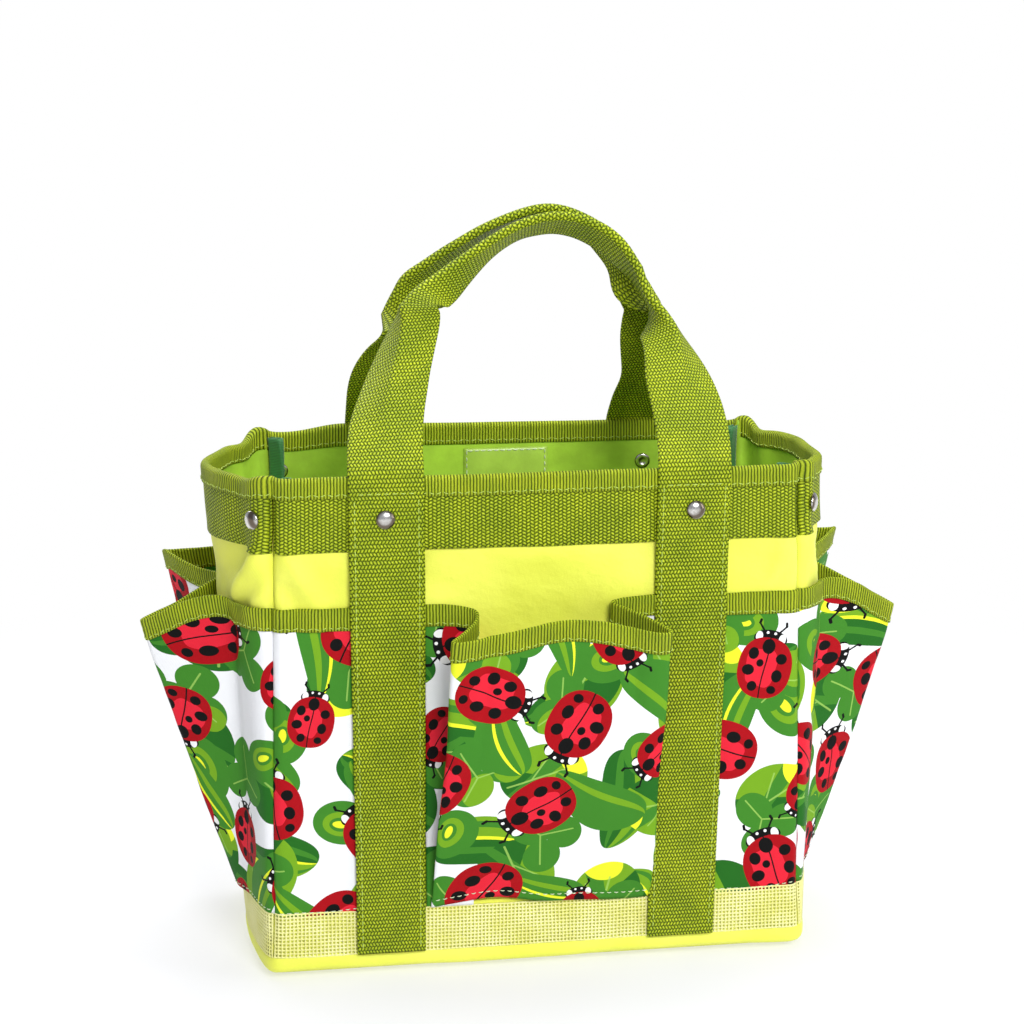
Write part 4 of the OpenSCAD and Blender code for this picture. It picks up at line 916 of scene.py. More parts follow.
def bellows(tag, sgn, side):
    """sgn +1 front, -1 back. The back one is the same pocket turned to face the other way."""
    C = 190
    both = np.array([list(a) + list(b) for a, b in zip(MOUTH, FLOORC)])
    fine = catmull(both, 1400)                                    # x y z  xf yf
    sM = arclen(fine[:, :3])
    tt = np.linspace(0, sM[-1], C)
    G = np.stack([np.interp(tt, sM, fine[:, i]) for i in range(5)], -1)
    # how far each column is from its wall end, for the weights w and for the belly
    iL = int(np.argmin(np.hypot(G[:, 0] + 48.6, G[:, 1] + 95.2))); iR = int(np.argmin(np.hypot(G[:, 0] - 60.4, G[:, 1] + 97.2)))
    c = np.arange(C)
    w = np.where(c < iL, sstep(0.05 * iL, iL, c), np.where(c > iR, 1 - sstep(iR, iR + 0.95 * (C - 1 - iR), c), 1.0))
    # a fold that starts near the wall can't travel further than it stands off
    room = np.clip((-G[:, 1] - 66.4 - 2.3) / 23.0, 0, 1)
    w = np.where((c < iL) | (c > iR), np.minimum(w, room), w)
    w = smooth1(w, 2)
    face = sstep(iL - 2, iL + 10, c) * (1 - sstep(iR - 10, iR + 2, c))
    R = 74
    v = np.linspace(0, 1, R)[:, None]
    ztop = G[:, 2][None]
    zlow = Z_FOOT - 0.3 + 5.0 * gauss(G[:, 0] + 20, 16)[None] * face[None] + (0.5 * np.sin(G[:, 0] / 9))[None]
    Z = zlow + (ztop - zlow) * v
    g = 1.16 * v - 0.16 * v ** 2
    X = G[:, 3][None] * (1 - v ** 0.9) + G[:, 0][None] * v ** 0.9
    Y = G[:, 4][None] * (1 - g) + G[:, 1][None] * g
    belly = np.sin(np.pi * np.clip(v, 0, 1)) ** 0.9
    Y = Y - face[None] * belly * (1.8 + 1.0 * np.sin(G[:, 0] / 22.0 + 0.6)[None])
    Y = Y - face[None] * (0.8 * fbm(X / 30, Z / 38, 21) * sstep(0, 0.15, v) * (1 - 0.5 * sstep(0.9, 1, v)))
    # a soft crease runs down from each front corner
    Y = Y + face[None] * (1.5 * gauss(X + 40 - 10 * v, 4) * sstep(0.45, 0.95, v) + 1.2 * gauss(X - 50 + 8 * v, 4) * sstep(0.4, 0.95, v))
    X = X + (1 - face[None]) * 0.8 * np.sin(v * 9 + c[None] * 0.05) * np.sin(np.pi * v) * sstep(0, 12, np.minimum(c, C - 1 - c))[None]
    d = disp(u_front(np.clip(X, -62, 62), np.clip(Z, 0, H), 0), Z)
    Y = Y - d
    P = np.stack([X * sgn, Y * sgn, Z], -1)
    if sgn < 0: pass
    UV = np.stack([np.broadcast_to(tt[None] + 400 + 700 * (sgn < 0), Z.shape), Z + 17], -1)
    Nn = grid_normals(P)
    for _ in range(2):
        Nn[:, 1:-1] = Nn[:, :-2] + 2 * Nn[:, 1:-1] + Nn[:, 2:]; Nn /= np.linalg.norm(Nn, axis=-1, keepdims=True)
    B = Build(); W = np.broadcast_to(w[None], Z.shape)
    sheet(B, P, UV, -0.33, 0.33, w=W, N=Nn)
    ob, ws = B.make("bellows_cloth_" + tag, M_print)
    blend_w(ob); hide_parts("bellows_" + tag, "bellows_" + tag + "_pleats")
    # tape over the mouth
    UP = P[-1] - P[-7]
    Np = Nn[-1]
    BT, BS = Build(), Build()
    s = arclen(P[-1])
    edge_tape(BT, P[-1], UP, Np, s, w=w, width=TAPE - 0.6, half=1.0, t=0.55, over=0.9, seed=31, stitch=BS)
    ob, ws = BT.make("bellows_tape_" + tag, M_tape)
    blend_w(ob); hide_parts("bellows_" + tag + "_binding")
    ob, ws = BS.make("bellows_tape_stitches_" + tag, M_thread)
    blend_w(ob)
    # hem line at the foot of the pocket
    BH = Build()
    row = 2
    cols = np.arange(iL + 3, iR - 2)
    stitches(BH, P[row, cols] + Nn[row, cols] * 0.38, Nn[row, cols], length=2.6, gap=1.2, r=0.27)
    ob, ws = BH.make("bellows_hem_stitches_" + tag, M_thread2)
    root(ob, slot="grosgrain_tape")
bellows("front", 1, 0)
bellows("back", -1, 2)

# ---------------------------------------------------------------- side pockets
# mouth of each pocket: y, how far it stands off the wall, z
FRONT_P = [(-64.9, 0, 199.2), (-62.6, 0.1, 199.2), (-57, 1.6, 199.4), (-51, 2.9, 199.2), (-45, 2.4, 198.2), (-40.5, 0.5, 197.4), (-38.0, 0.6, 197.3), (-35.5, 5.0, 197.6), (-33.4, 12.0, 196.2), (-30.6, 21.5, 191.8),
           (-27.6, 30.5, 185.2), (-24.2, 38.5, 179.4), (-22.4, 40.6, 178.2), (-20.0, 39.4, 178.6), (-14.0, 31.5, 182.2), (-6.0, 20.0, 188.4), (1.5, 9.8, 193.8), (7.0, 3.2, 197.0), (10.5, 0.6, 197.8), (13.5, 0, 198.0), (17.0, 0, 198.0)]
REAR_P = [(17.6, 0, 198.0), (20.0, 0.3, 198.0), (23.0, 2.5, 197.8), (28.0, 9.0, 197.2), (35.0, 20.0, 196.4), (43.0, 32.0, 195.6), (50.5, 41.5, 195.0), (55.2, 46.6, 194.6),
          (57.6, 46.8, 194.6), (58.6, 42.0, 194.8), (59.2, 32.0, 195.4), (59.8, 20.0, 196.2), (60.5, 9.0, 197.2), (61.3, 2.0, 197.8), (62.6, 0, 198.0), (64.9, 0, 198.0)]
def side_pocket(tag, right, table, peak, nodes, seed, foot):
    fine = catmull(np.array(table, float), 900)
    # even steps along the lip
    u_s = u_side(fine[:, 0], right)
    s3 = arclen(np.stack([fine[:, 0], fine[:, 1], fine[:, 2] * 0.6], -1))
    C = 128
    tt = np.linspace(0, s3[-1], C)
    G = np.stack([np.interp(tt, s3, fine[:, i]) for i in range(3)], -1)
    if not right: G = G[::-1].copy()                  # keep columns running the way the outline does
    yy, off, zt = G[:, 0], np.maximum(G[:, 1], 0), G[:, 2]
    ip = int(np.argmax(off))
    R = 70
    v = np.linspace(0, 1, R)[:, None]
    zlow = (HEM + 0.9 + 0.7 * np.sin(yy / 11 + seed))[None]
    Z = zlow + (zt[None] - zlow) * v
    U = np.broadcast_to(u_side(yy, right)[None], Z.shape)
    rel = off / off.max()
    low = foot * gauss(yy - yy[ip], 9)
    g = 1.13 * v - 0.13 * v ** 2
    hug = off[None] * np.sin(np.pi * np.clip(v, 0, 1)) ** 0.5 * sstep(-34, -40, yy)[None] if False else 0
    OFF = low[None] * (1 - v) + off[None] * g
    # crisp fold from the tip to the foot, cloth sagging a little between fold and wall
    cc = np.arange(C)[None]
    sag = np.sin(np.pi * np.clip(rel, 0, 1))[None] * np.sin(np.pi * v) * 2.4
    OFF = OFF - sag * np.where(cc < ip, 0.8, 1.1) + rel[None] * 0.9 * fbm(tt[None] / 26, Z / 34, seed) * np.sin(np.pi * np.clip(v, 0, 1)) ** 0.5
    OFF = np.maximum(OFF, 0)
    Wp = wall(U, Z, PM)
    sx = 1 if right else -1
    P = Wp.copy(); P[..., 0] += sx * OFF
    # the fold leans: cloth near the tip follows the mouth, cloth near the foot stays on the wall
    Nn = grid_normals(P)
    for _ in range(2):
        Nn[:, 1:-1] = Nn[:, :-2] + 2 * Nn[:, 1:-1] + Nn[:, 2:]; Nn /= np.linalg.norm(Nn, axis=-1, keepdims=True)
    w = sstep(0.0, 0.9, rel)
    W = np.broadcast_to(w[None], Z.shape)
    sU = arclen(P[R // 2])
    UV = np.stack([np.broadcast_to((sU + 900 + 260 * seed)[None], Z.shape), Z + 9 * seed], -1)
    B = Build(); sheet(B, P, UV, -0.34, 0.34, w=W, N=Nn)
    ob, ws = B.make("side_cloth_" + tag, M_print)
    blend_w(ob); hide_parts(*nodes[:2])
    BT, BS = Build(), Build()
    edge_tape(BT, P[-1], P[-1] - P[-7], Nn[-1], arclen(P[-1]), w=w, width=TAPE - 0.4, half=1.05, t=0.55, over=0.9, seed=40 + seed, stitch=BS)
    ob, ws = BT.make("side_tape_" + tag, M_tape)
    blend_w(ob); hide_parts(nodes[2])
    ob, ws = BS.make("side_tape_stitches_" + tag, M_thread)
    blend_w(ob)
    BH = Build()
    stitches(BH, P[1] + Nn[1] * 0.4, Nn[1], length=2.6, gap=1.2, r=0.27)
    ob, _ = BH.make("side_hem_stitches_" + tag, M_thread2); root(ob, slot="grosgrain_tape")
REAR_P = [(y, o, z + 9.0 * float(gauss(np.array(y - 52.0), 15.0)) * float(sstep(0, 14, np.array(o)))) for y, o, z in REAR_P]
FRONT_PL = [(y, o, z + 7.0 * float(gauss(np.array(y + 22.0), 13.0))) for y, o, z in FRONT_P]
for sd in ("right", "left"):
    for fr, table, seed, foot in (("front", FRONT_P if sd == "right" else FRONT_PL, 1, 4.5), ("rear", REAR_P, 2, 4.5)):
        tag = sd + "_" + fr
        n = "side_pocket_" + tag
        side_pocket(tag, sd == "right", table, None, [n, "side_pleats_" + tag, "side_binding_" + tag], seed + (2 if sd == "left" else 0), foot)
# the sewn-down part of each side panel is drawn by the two pocket cloths; the CAD panels stand behind them
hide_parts("pocket_panel_right")
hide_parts("pocket_panel_left")

# ---------------------------------------------------------------- open mesh round the foot, real strands over a lime strip
def mesh_strip(name, k):
    p, h = 1.96, 0.42
    La = Lf(30) if k % 2 == 0 else Ls(30)
    n = int(round((La - 2.4) / p)); rows = int(round((MESH_TOP - ROLL - 0.6) / p))
    def axis(n):
        a = np.concatenate([[i * p - h, i * p, i * p + h] for i in range(n + 1)])
        return a, n
    ax, nx = axis(n); ay, ny = axis(rows)
    x0 = (La - n * p) / 2
    wob = lambda a, b, sd: 0.10 * noise(a / 3.0, b / 3.0, sd) + 0.35 * noise(a / 24.0, b / 24.0, sd + 1)
    AX, AY = np.meshgrid(ax, ay)
    # strands wander a little
    ix = np.round(AX / p); iy = np.round(AY / p)
    X = AX + wob(ix * p, AY, 5 + k); Y = AY + wob(AX, iy * p, 15 + k)
    U = k + np.clip((x0 + X) / La, 0.0015, 0.9985)
    Z = ROLL + 0.9 + Y
    cx = np.abs(AX - ix * p) < 1e-6; cy = np.abs(AY - iy * p) < 1e-6
    over = ((ix + iy) % 2 == 0)
    hgt = 0.16 * cx + 0.16 * cy + 0.16 * (cx & cy) + 0.10 * np.where(over, 1, -1) * (cx ^ cy)
    A = wall(U, Z, L_MESH[1] - 0.45 + hgt); A2 = wall(U, Z, L_MESH[0] - 0.50 + 0 * hgt)
    Rn, Cn = AX.shape
    rr, cc = np.meshgrid(np.arange(Rn - 1), np.arange(Cn - 1), indexing="ij")
    hole = (rr % 3 == 2) & (cc % 3 == 2)
    solid = ~hole
    q = np.stack([rr * Cn + cc, rr * Cn + cc + 1, (rr + 1) * Cn + cc + 1, (rr + 1) * Cn + cc], -1)
    o = Rn * Cn
    f = [q[solid], (q[solid] + o)[:, ::-1]]
    hq = q[hole]
    for a, b in ((0, 1), (1, 2), (2, 3), (3, 0)):
        f.append(np.stack([hq[:, a], hq[:, b], hq[:, b] + o, hq[:, a] + o], -1))
    # outer rim of the strip
    c = np.arange(Cn - 1); r = np.arange(Rn - 1)
    for ring in (np.stack([c, c + 1], -1), np.stack([(Rn - 1) * Cn + c, (Rn - 1) * Cn + c + 1], -1), np.stack([r * Cn, (r + 1) * Cn], -1), np.stack([r * Cn + Cn - 1, (r + 1) * Cn + Cn - 1], -1)):
        f.append(np.stack([ring[:, 0], ring[:, 1], ring[:, 1] + o, ring[:, 0] + o], -1))
    f = np.concatenate(f)
    V = np.concatenate([A.reshape(-1, 3), A2.reshape(-1, 3)])
    uv = np.stack([X, Y], -1).reshape(-1, 2); uv = np.concatenate([uv, uv])
    B = Build(); B.add(V, [f], [uv[f]])
    ob, _ = B.make(name, M_mesh)
    return ob
for k, s in enumerate(SIDES):
    root(mesh_strip("mesh_" + s, k), "mesh_strip_" + s, slot="open_mesh")
    ob = wall_piece("mesh_backing_" + s, M_body, k + EPS, k + 1 - EPS, ROLL - 0.5, HEM + 3.0, (0.25, 0.75), step=(4.0, 3.0))
    root(ob, slot="body_fabric")

# ---------------------------------------------------------------- handles: strap, arch and strap in one length of webbing
# x and height above the fold line of the outer edge and of the inner edge, bend of the outer half, roll of the section (degrees)
FRONT_ARCH = [(-96.8, 0, -58.8, 0, 0, 0), (-96.0, 14, -57.6, 15, 4, 0), (-93.4, 26.5, -55.4, 28, 16, 0), (-90.2, 34.5, -53.4, 36, 27, 0), (-86.6, 42.5, -51.6, 44, 38, 0), (-80.2, 55, -48.4, 57, 50, 0), (-73.6, 66, -45.2, 68, 62, 2),
              (-68.0, 74.8, -43.4, 74.6, 76, 8), (-62.6, 81.4, -42.6, 75.4, 108, 8), (-57.2, 86.3, -41.8, 76.2, 156, -6), (-52.2, 90.0, -38.6, 78.0, 177, -22), (-46.4, 93.6, -34.2, 81.0, 180, -34), (-38.8, 98.6, -28.5, 85.5, 180, -50), (-28.2, 105.4, -18, 92, 180, -65), (-17, 112.3, -8.5, 98, 180, -73),
              (-4, 118.9, 2, 104, 180, -74), (8, 122.8, 10.5, 107.5, 180, -68), (18, 124, 17.5, 108.5, 180, -66), (28, 123, 23.5, 108, 180, -64), (36, 120.6, 28.5, 107, 180, -63), (43.7, 117, 34, 104, 180, -63), (51, 111.8, 39.5, 100.5, 180, -66),
              (56.2, 106.2, 43.5, 96, 180, -72), (60.3, 100, 47, 90.5, 180, -82), (64.4, 93, 50.5, 84, 180, -93), (69.3, 85.4, 55.5, 76.5, 180, -101), (73.4, 79.4, 59, 71, 178, -102), (77.0, 75.6, 61.5, 68, 158, -80), (80.4, 71.8, 63, 65, 120, -46), (84.4, 67.2, 63, 61.6, 92, -22), (88.4, 61.6, 62, 57.4, 72, -10),
              (92.8, 52, 60.3, 49, 45, -2), (95.6, 40, 58.8, 38.4, 19, 0), (97.6, 27, 59, 26.2, 5, 0), (98.2, 12, 59.4, 12, 0, 0), (96.9, 0, 58.8, 0, 0, 0)]
BACK_ARCH = [(-89.9, 0, -51.9, 0, 0, 0), (-89.8, 12, -52, 13, 2, 0), (-89.4, 26.6, -52.5, 28, 5, 0), (-87.4, 38, -52, 40, 9, 0), (-83.6, 47.6, -51, 51, 16, 0), (-79.2, 56.6, -50, 60, 31, 0), (-75.2, 65.0, -49, 66, 62, 0), (-71.2, 73.0, -48.6, 69, 112, 4), (-67.4, 80.6, -48.2, 72, 160, 12),
             (-63.9, 87.8, -48, 76, 178, 18), (-60.0, 91.9, -46.6, 79, 180, 22), (-52.8, 96.3, -43.6, 80, 180, 28), (-42.4, 103.4, -32, 87.5, 180, 38), (-32, 109.6, -21.5, 93, 180, 48), (-21.5, 115.4, -13, 98.5, 180, 58), (-11, 120, -4.5, 102.5, 180, 66), (0.8, 124.3, 5, 106, 180, 69),
             (12.7, 126.8, 13.6, 108, 180, 68), (24, 125.6, 19.5, 107.5, 180, 64), (36, 120.9, 27, 104.5, 180, 58), (45, 115.4, 34.5, 100, 180, 52), (52, 109, 39.5, 96, 180, 47), (57.5, 102.4, 43.5, 91, 180, 46), (62, 96.3, 48, 85.5, 180, 44), (66.5, 90, 50.5, 79.5, 168, 34),
             (71.6, 83, 54.3, 74, 128, 16), (76.5, 76, 56, 69, 94, 4), (82, 67.5, 57, 62, 76, 0), (88, 57, 57.5, 52, 56, 0), (93, 44, 60, 41, 44, 0), (95.4, 30, 61.5, 28, 42, 0), (96.0, 15, 58.6, 15, 18, 0), (95.6, 0, 57.6, 0, 0, 0)]
LEAN_TOP = 3.3 + 0.35
def lean_y(z):
    u = np.clip((z - HINGE_Z) / (GRIP_Z - HINGE_Z), 0, 1)
    return -HINGE_Y + (HINGE_Y - LEAN_TOP) * (1 - (1 - u) ** 1.8)
def lean_slope(z):
    u = np.clip((z - HINGE_Z) / (GRIP_Z - HINGE_Z), 0, 1)
    return (HINGE_Y - LEAN_TOP) * 1.8 * (1 - u) ** 0.8 / (GRIP_Z - HINGE_Z)
WW = WEB / 2
WEB_T = 1.8
FOLD_R = 1.6
def handle(tag, sgn, arch, body, foot):
    # stations: x_out z_out x_in z_in theta roll
    st = np.array(arch, float)
    st[:, 1] += HINGE_Z; st[:, 3] += HINGE_Z
    fine = catmull(st, 40 * len(st))
    x_o, z_o, x_i, z_i = fine[:, :4].T
    z_o = np.minimum(z_o, GRIP_Z + (-2.4 if sgn > 0 else 0.4))
    theta, roll = np.radians(np.clip(fine[:, 4], 0, 180)), np.radians(fine[:, 5])
    apart = 1.2 * sstep(95, 122, z_o - HINGE_Z)                 # the rolled grips lie one behind the other
    E = np.stack([x_o, lean_y(z_o) - apart, z_o], -1)
    I = np.stack([x_i, lean_y(z_i) - apart, z_i], -1)
    Nn = E - I; Nn /= np.linalg.norm(Nn, axis=1, keepdims=True)
    sl = lean_slope(z_o)
    M = np.stack([0 * sl, 1 + 0 * sl, -sl], -1); M /= np.linalg.norm(M, axis=1, keepdims=True)
    s = arclen(E); n = int(s[-1] / 1.9); t = np.linspace(0, s[-1], n)
    ip = lambda A: np.stack([np.interp(t, s, A[:, i]) for i in range(A.shape[1])], -1) if A.ndim > 1 else np.interp(t, s, A)
    E, Nn, M, theta, roll = ip(E), ip(Nn), ip(M), ip(theta), ip(roll)
    # straps below the fold line
    zs = np.arange(ROLL + 1.3, HINGE_Z - 0.5, 2.4)
    # the strap narrows a little and leans towards its foot
    nar = 1.1 * (1 - sstep(10, 230, zs))
    def strap(x, lean):
        x = x + lean * (1 - zs / HINGE_Z) - np.sign(x) * nar
        xs = x * sgn
        U = u_front(xs, zs, 0 if sgn > 0 else 2)
        ys = -np.abs(wall(U, zs, (L_STRAP[0] + L_STRAP[1]) / 2)[:, 1])
        k = sstep(252, HINGE_Z, zs)
        ys = ys * (1 - k) - HINGE_Y * k
        return np.stack([x, ys, zs], -1)
    SL = strap(st[0, 0], foot[0]); SR = strap(st[-1, 0], foot[1])[::-1]
    one = np.ones(len(zs)); narrow = nar * 2 / WEB
    E = np.concatenate([SL, E, SR])
    Nn = np.concatenate([np.outer(one, [-1, 0, 0]), Nn, np.outer(one, [1, 0, 0])])
    M = np.concatenate([np.outer(one, [0, 1, 0]), M, np.outer(one, [0, 1, 0])])
    shrink = np.concatenate([1 - narrow, np.ones(len(theta)), (1 - narrow)[::-1]])
    theta = np.concatenate([0 * one, theta, 0 * one]); roll = np.concatenate([0 * one, roll, 0 * one])
    ns = len(zs)
    for _ in range(5):
        for A in (M, Nn): A[1:-1] = (A[:-2] + 2 * A[1:-1] + A[2:]) / 4
        theta = smooth1(theta, 1); roll = smooth1(roll, 1)
    # round the kink at the fold line
    E2 = E.copy()
    for _ in range(7): E2[1:-1] = (E2[:-2] + 2 * E2[1:-1] + E2[2:]) / 4
    E = E2
    Nn /= np.linalg.norm(Nn, axis=1, keepdims=True); M -= Nn * np.sum(M * Nn, 1, keepdims=True); M /= np.linalg.norm(M, axis=1, keepdims=True)
    s = arclen(E)
    m = 31
    WH = WW - 0.55
    wv = np.linspace(-WH, WH, m)
    fw = np.linspace(-WW, WW, 241); dw = fw[1] - fw[0]
    P = np.zeros((len(s), m, 3)); Q = np.zeros((len(s), m, 3))
    for i in range(len(s)):
        th = theta[i]
        a0 = FOLD_R * th
        ang = np.clip((fw + a0 / 2) / FOLD_R, 0, th) if th > 1e-4 else 0 * fw
        a = np.concatenate([[0], np.cumsum((np.cos(ang[1:]) + np.cos(ang[:-1])) / 2) * dw])
        b = np.concatenate([[0], np.cumsum((np.sin(ang[1:]) + np.sin(ang[:-1])) / 2) * dw])
        top = np.interp(WH, fw, a) if th < 1e-3 else a[np.abs(fw) <= WH].max()
        top += WEB_T / 2 * math.sin(min(th, math.pi / 2))
        a = (a - top) * shrink[i]
        if roll[i]:
            # turn the folded section about its outer edge
            c_, s_ = math.cos(roll[i]), math.sin(roll[i])
            a, b = a * c_ - (b - FOLD_R) * s_, a * s_ + (b - FOLD_R) * c_ + FOLD_R
            a = a - a[np.abs(fw) <= WH].max() - WEB_T / 2 * math.sin(min(th, math.pi / 2))
        A_ = np.interp(wv, fw, a); B_ = np.interp(wv, fw, b)
        an = np.interp(wv, fw, ang) + roll[i]
        # b grows from the face that stays in the surface; the middle of the folded grip sits on the surface
        sh = WEB_T / 2 * (th / math.pi)
        pos = E[i] + np.outer(A_, Nn[i]) + np.outer(B_ - FOLD_R * (1 - math.cos(min(th, math.pi))) / 2 * 1.0, M[i])
        nor = np.outer(-np.sin(an), Nn[i]) + np.outer(np.cos(an), M[i])
        P[i] = pos - nor * WEB_T / 2          # outer face of the webbing
        Q[i] = pos + nor * WEB_T / 2
    if sgn < 0:
        R = np.array([-1, -1, 1.0]); P *= R; Q *= R
        # the back handle is drawn from its own table, whose x already reads from the front
        P[..., 0] *= -1; Q[..., 0] *= -1
    UV = np.stack(np.broadcast_arrays(wv[None], s[:, None] * 1.0), -1)
    d = s - s[ns - 1]; e = s[len(s) - ns] - s
    w1 = sstep(1.0, 13.0, np.minimum(d, e))
    W = np.broadcast_to(w1[:, None], P.shape[:2])
    B = Build()
    # rows must run along the closed lips: transpose so that the long edges are the rounded ones
    shell_part(B, P.transpose(1, 0, 2), Q.transpose(1, 0, 2), UV.transpose(1, 0, 2), w=W.T, lip=0.55)
    ob, ws = B.make("handle_webbing_" + tag, M_web)
    fs = "strap_%s_" % tag
    blend_w(ob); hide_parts(body, fs + "left", fs + "right")
    # stitching up both edges of each strap and across its top
    BS = Build()
    for a, b in ((1, ns - 4), (len(s) - ns + 3, len(s) - 2)):
        for col in (2, m - 3):
            nn = P[a:b, col] - Q[a:b, col]
            stitches(BS, P[a:b, col], nn, length=3.0, gap=1.2, r=0.3)
    for j in (ns - 4, len(s) - ns + 3):
        nn = P[j, 2:-2] - Q[j, 2:-2]
        stitches(BS, P[j, 2:-2], nn, length=3.0, gap=1.2, r=0.3)
    ob, _ = BS.make("strap_stitches_" + tag, M_thread); root(ob, slot="webbing")
handle("front", 1, FRONT_ARCH, "front_handle", (-0.8, -3.8))
handle("back", -1, BACK_ARCH, "back_handle", (0.0, 0.0))

# ---------------------------------------------------------------- dark seam tapes in the inner corners
B = Build()
for c, (sx, sy) in enumerate(((-1, -1), (1, -1), (1, 1), (-1, 1))):
    z = np.linspace(5.6, H - 2.0, 110)
    corner = wall(np.full(len(z), float(c)), z, -1.9)
    dirn = np.array([-sx * 0.74, -sy * 0.67, 0.0])
    side = np.array([-dirn[1], dirn[0], 0.0])
    wv = 0.9 * np.sin(z / 23 + c) + 0.6 * np.sin(z / 9 + 2 * c)
    open_ = 0.55 + 1.2 * sstep(H - 22, H, z)
    ro, ri = [], []
    L = 9.0
    for d_, o_ in [(x, 1) for x in np.linspace(0.4, L - 1.0, 7)] + [(L - 0.25, 0.7), (L, 0), (L - 0.25, -0.7)] + [(x, -1) for x in np.linspace(L - 1.0, 0.4, 7)]:
        ro.append(corner + dirn * (d_ + 0 * z)[:, None] + side * (wv * sstep(0, L, d_) + o_ * (open_ * (0.6 + 0.4 * d_ / L) + 0.55))[:, None])
        dd = min(d_, L - 0.65)
        ri.append(corner + dirn * (dd + 0 * z)[:, None] + side * (wv * sstep(0, L, d_) + o_ * (open_ * (0.6 + 0.4 * d_ / L) + 0.02))[:, None])
    ro, ri = np.array(ro), np.array(ri)
    acc = np.linspace(0, 20, ro.shape[0])
    UV = np.stack(np.broadcast_arrays(z[None], acc[:, None]), -1)
    shell_part(B, ro, ri, UV)
root(B.make("corner_tapes", M_seam)[0], "corner_seam_bindings", slot="seam_binding")

# ---------------------------------------------------------------- blank label on the inside of the back wall
u0, u1 = u_front(24.0, 240, 2), u_front(-24.0, 240, 2)
Ul = np.linspace(u0, u1, 30)[None] + np.zeros((20, 1)); Zl = np.linspace(224, 255, 20)[:, None] + np.zeros((1, 30))
tt = np.linspace(-1, 1, 30)[None]; rr = np.linspace(-1, 1, 20)[:, None]
puff = 0.5 * (1 - tt ** 6) * (1 - rr ** 6)
B = Build(); shell_part(B, wall(Ul, Zl, -2.15), wall(Ul, Zl, -2.45 - puff), np.stack([Ul * 280, Zl], -1))
root(B.make("label_blank", M_label)[0], "label_patch", slot="label_fabric")
B = Build()
for (ua, za, ub, zb) in ((u0, 225.4, u1, 225.4), (u0, 253.6, u1, 253.6), (u0 + 0.006, 224.5, u0 + 0.006, 254.5), (u1 - 0.006, 224.5, u1 - 0.006, 254.5)):
    t = np.linspace(0, 1, 40); U = ua + (ub - ua) * t; Z = za + (zb - za) * t
    stitches(B, wall(U, Z, -2.95), -wall_n(U, Z), length=2.6, gap=1.1, r=0.28)
root(B.make("label_stitches", M_thread2)[0], slot="label_fabric")

# ---------------------------------------------------------------- rivets
def dome(B, c, n, r=4.9, h=2.3, flat=False):
    n = n / np.linalg.norm(n)
    a = np.cross(n, [0, 0, 1.0]); a /= np.linalg.norm(a); b = np.cross(n, a)
    if flat: prof = [(r, -0.2), (r, 0.25), (r * 0.97, 0.55), (r * 0.86, 0.8), (r * 0.62, 1.0), (r * 0.45, 0.85), (r * 0.3, 0.5), (r * 0.1, 0.42)]
    else: prof = [(r, -0.3), (r, 0.35), (r * 0.985, 0.62), (r * 0.93, 0.95), (r * 0.8, 1.42), (r * 0.6, 1.88), (r * 0.36, h * 0.95), (r * 0.12, h)]
    A = np.linspace(0, 2 * np.pi, 36, endpoint=False)
    V = np.array([[c + n * z + rr * (a * math.cos(t) + b * math.sin(t)) for t in A] for rr, z in prof])
    R, C = V.shape[:2]
    UV = np.stack(np.broadcast_arrays(np.linspace(0, 30, C + 1)[None], np.arange(R)[:, None]), -1).astype(float)
    f, u = grid_part(V, UV, wrap_c=True)
    cen = np.array([c + n * (prof[-1][1] + (0.02 if not flat else 0)), c - n * 0.3])
    idx = np.arange(C)
    tri = np.concatenate([np.stack([(R - 1) * C + idx, (R - 1) * C + (idx + 1) % C, np.full(C, R * C)], -1), np.stack([idx, (idx + 1) % C, np.full(C, R * C + 1)], -1)])
    B.add(np.concatenate([V.reshape(-1, 3), cen]), [f, tri], [u, np.zeros((len(tri), 3, 2))])
BC, BB = Build(), Build()
RZ = 245.0
for sx in (-1, 1):
    for side in (0, 2):
        U = u_front(np.array(sx * 79.0), np.array(RZ), side)
        p, n = wall(U, np.array(RZ), L_STRAP[1]), wall_n(U, np.array(RZ))
        dome(BC, p, n); dome(BB, wall(U, np.array(RZ), -1.95), -n, r=4.4, flat=True)
    # side band, near the front corner
    U = u_side(np.array(-57.9), sx > 0)
    p, n = wall(U, np.array(RZ), L_BAND[1] + 0.1), wall_n(U, np.array(RZ))
    dome(BC, p, n); dome(BB, wall(U, np.array(RZ), -1.95), -n, r=4.4, flat=True)
    U = u_front(np.array(sx * 127.0), np.array(RZ), 2)
    p, n = wall(U, np.array(RZ), L_BAND[1] + 0.1), wall_n(U, np.array(RZ))
    dome(BC, p, n); dome(BB, wall(U, np.array(RZ), -1.95), -n, r=4.4, flat=True)
root(BC.make("rivet_domes", M_nickel)[0], "rivet_caps", slot="nickel_rivet")
root(BB.make("rivet_washers", M_nickel)[0], "rivet_backs", slot="nickel_rivet")

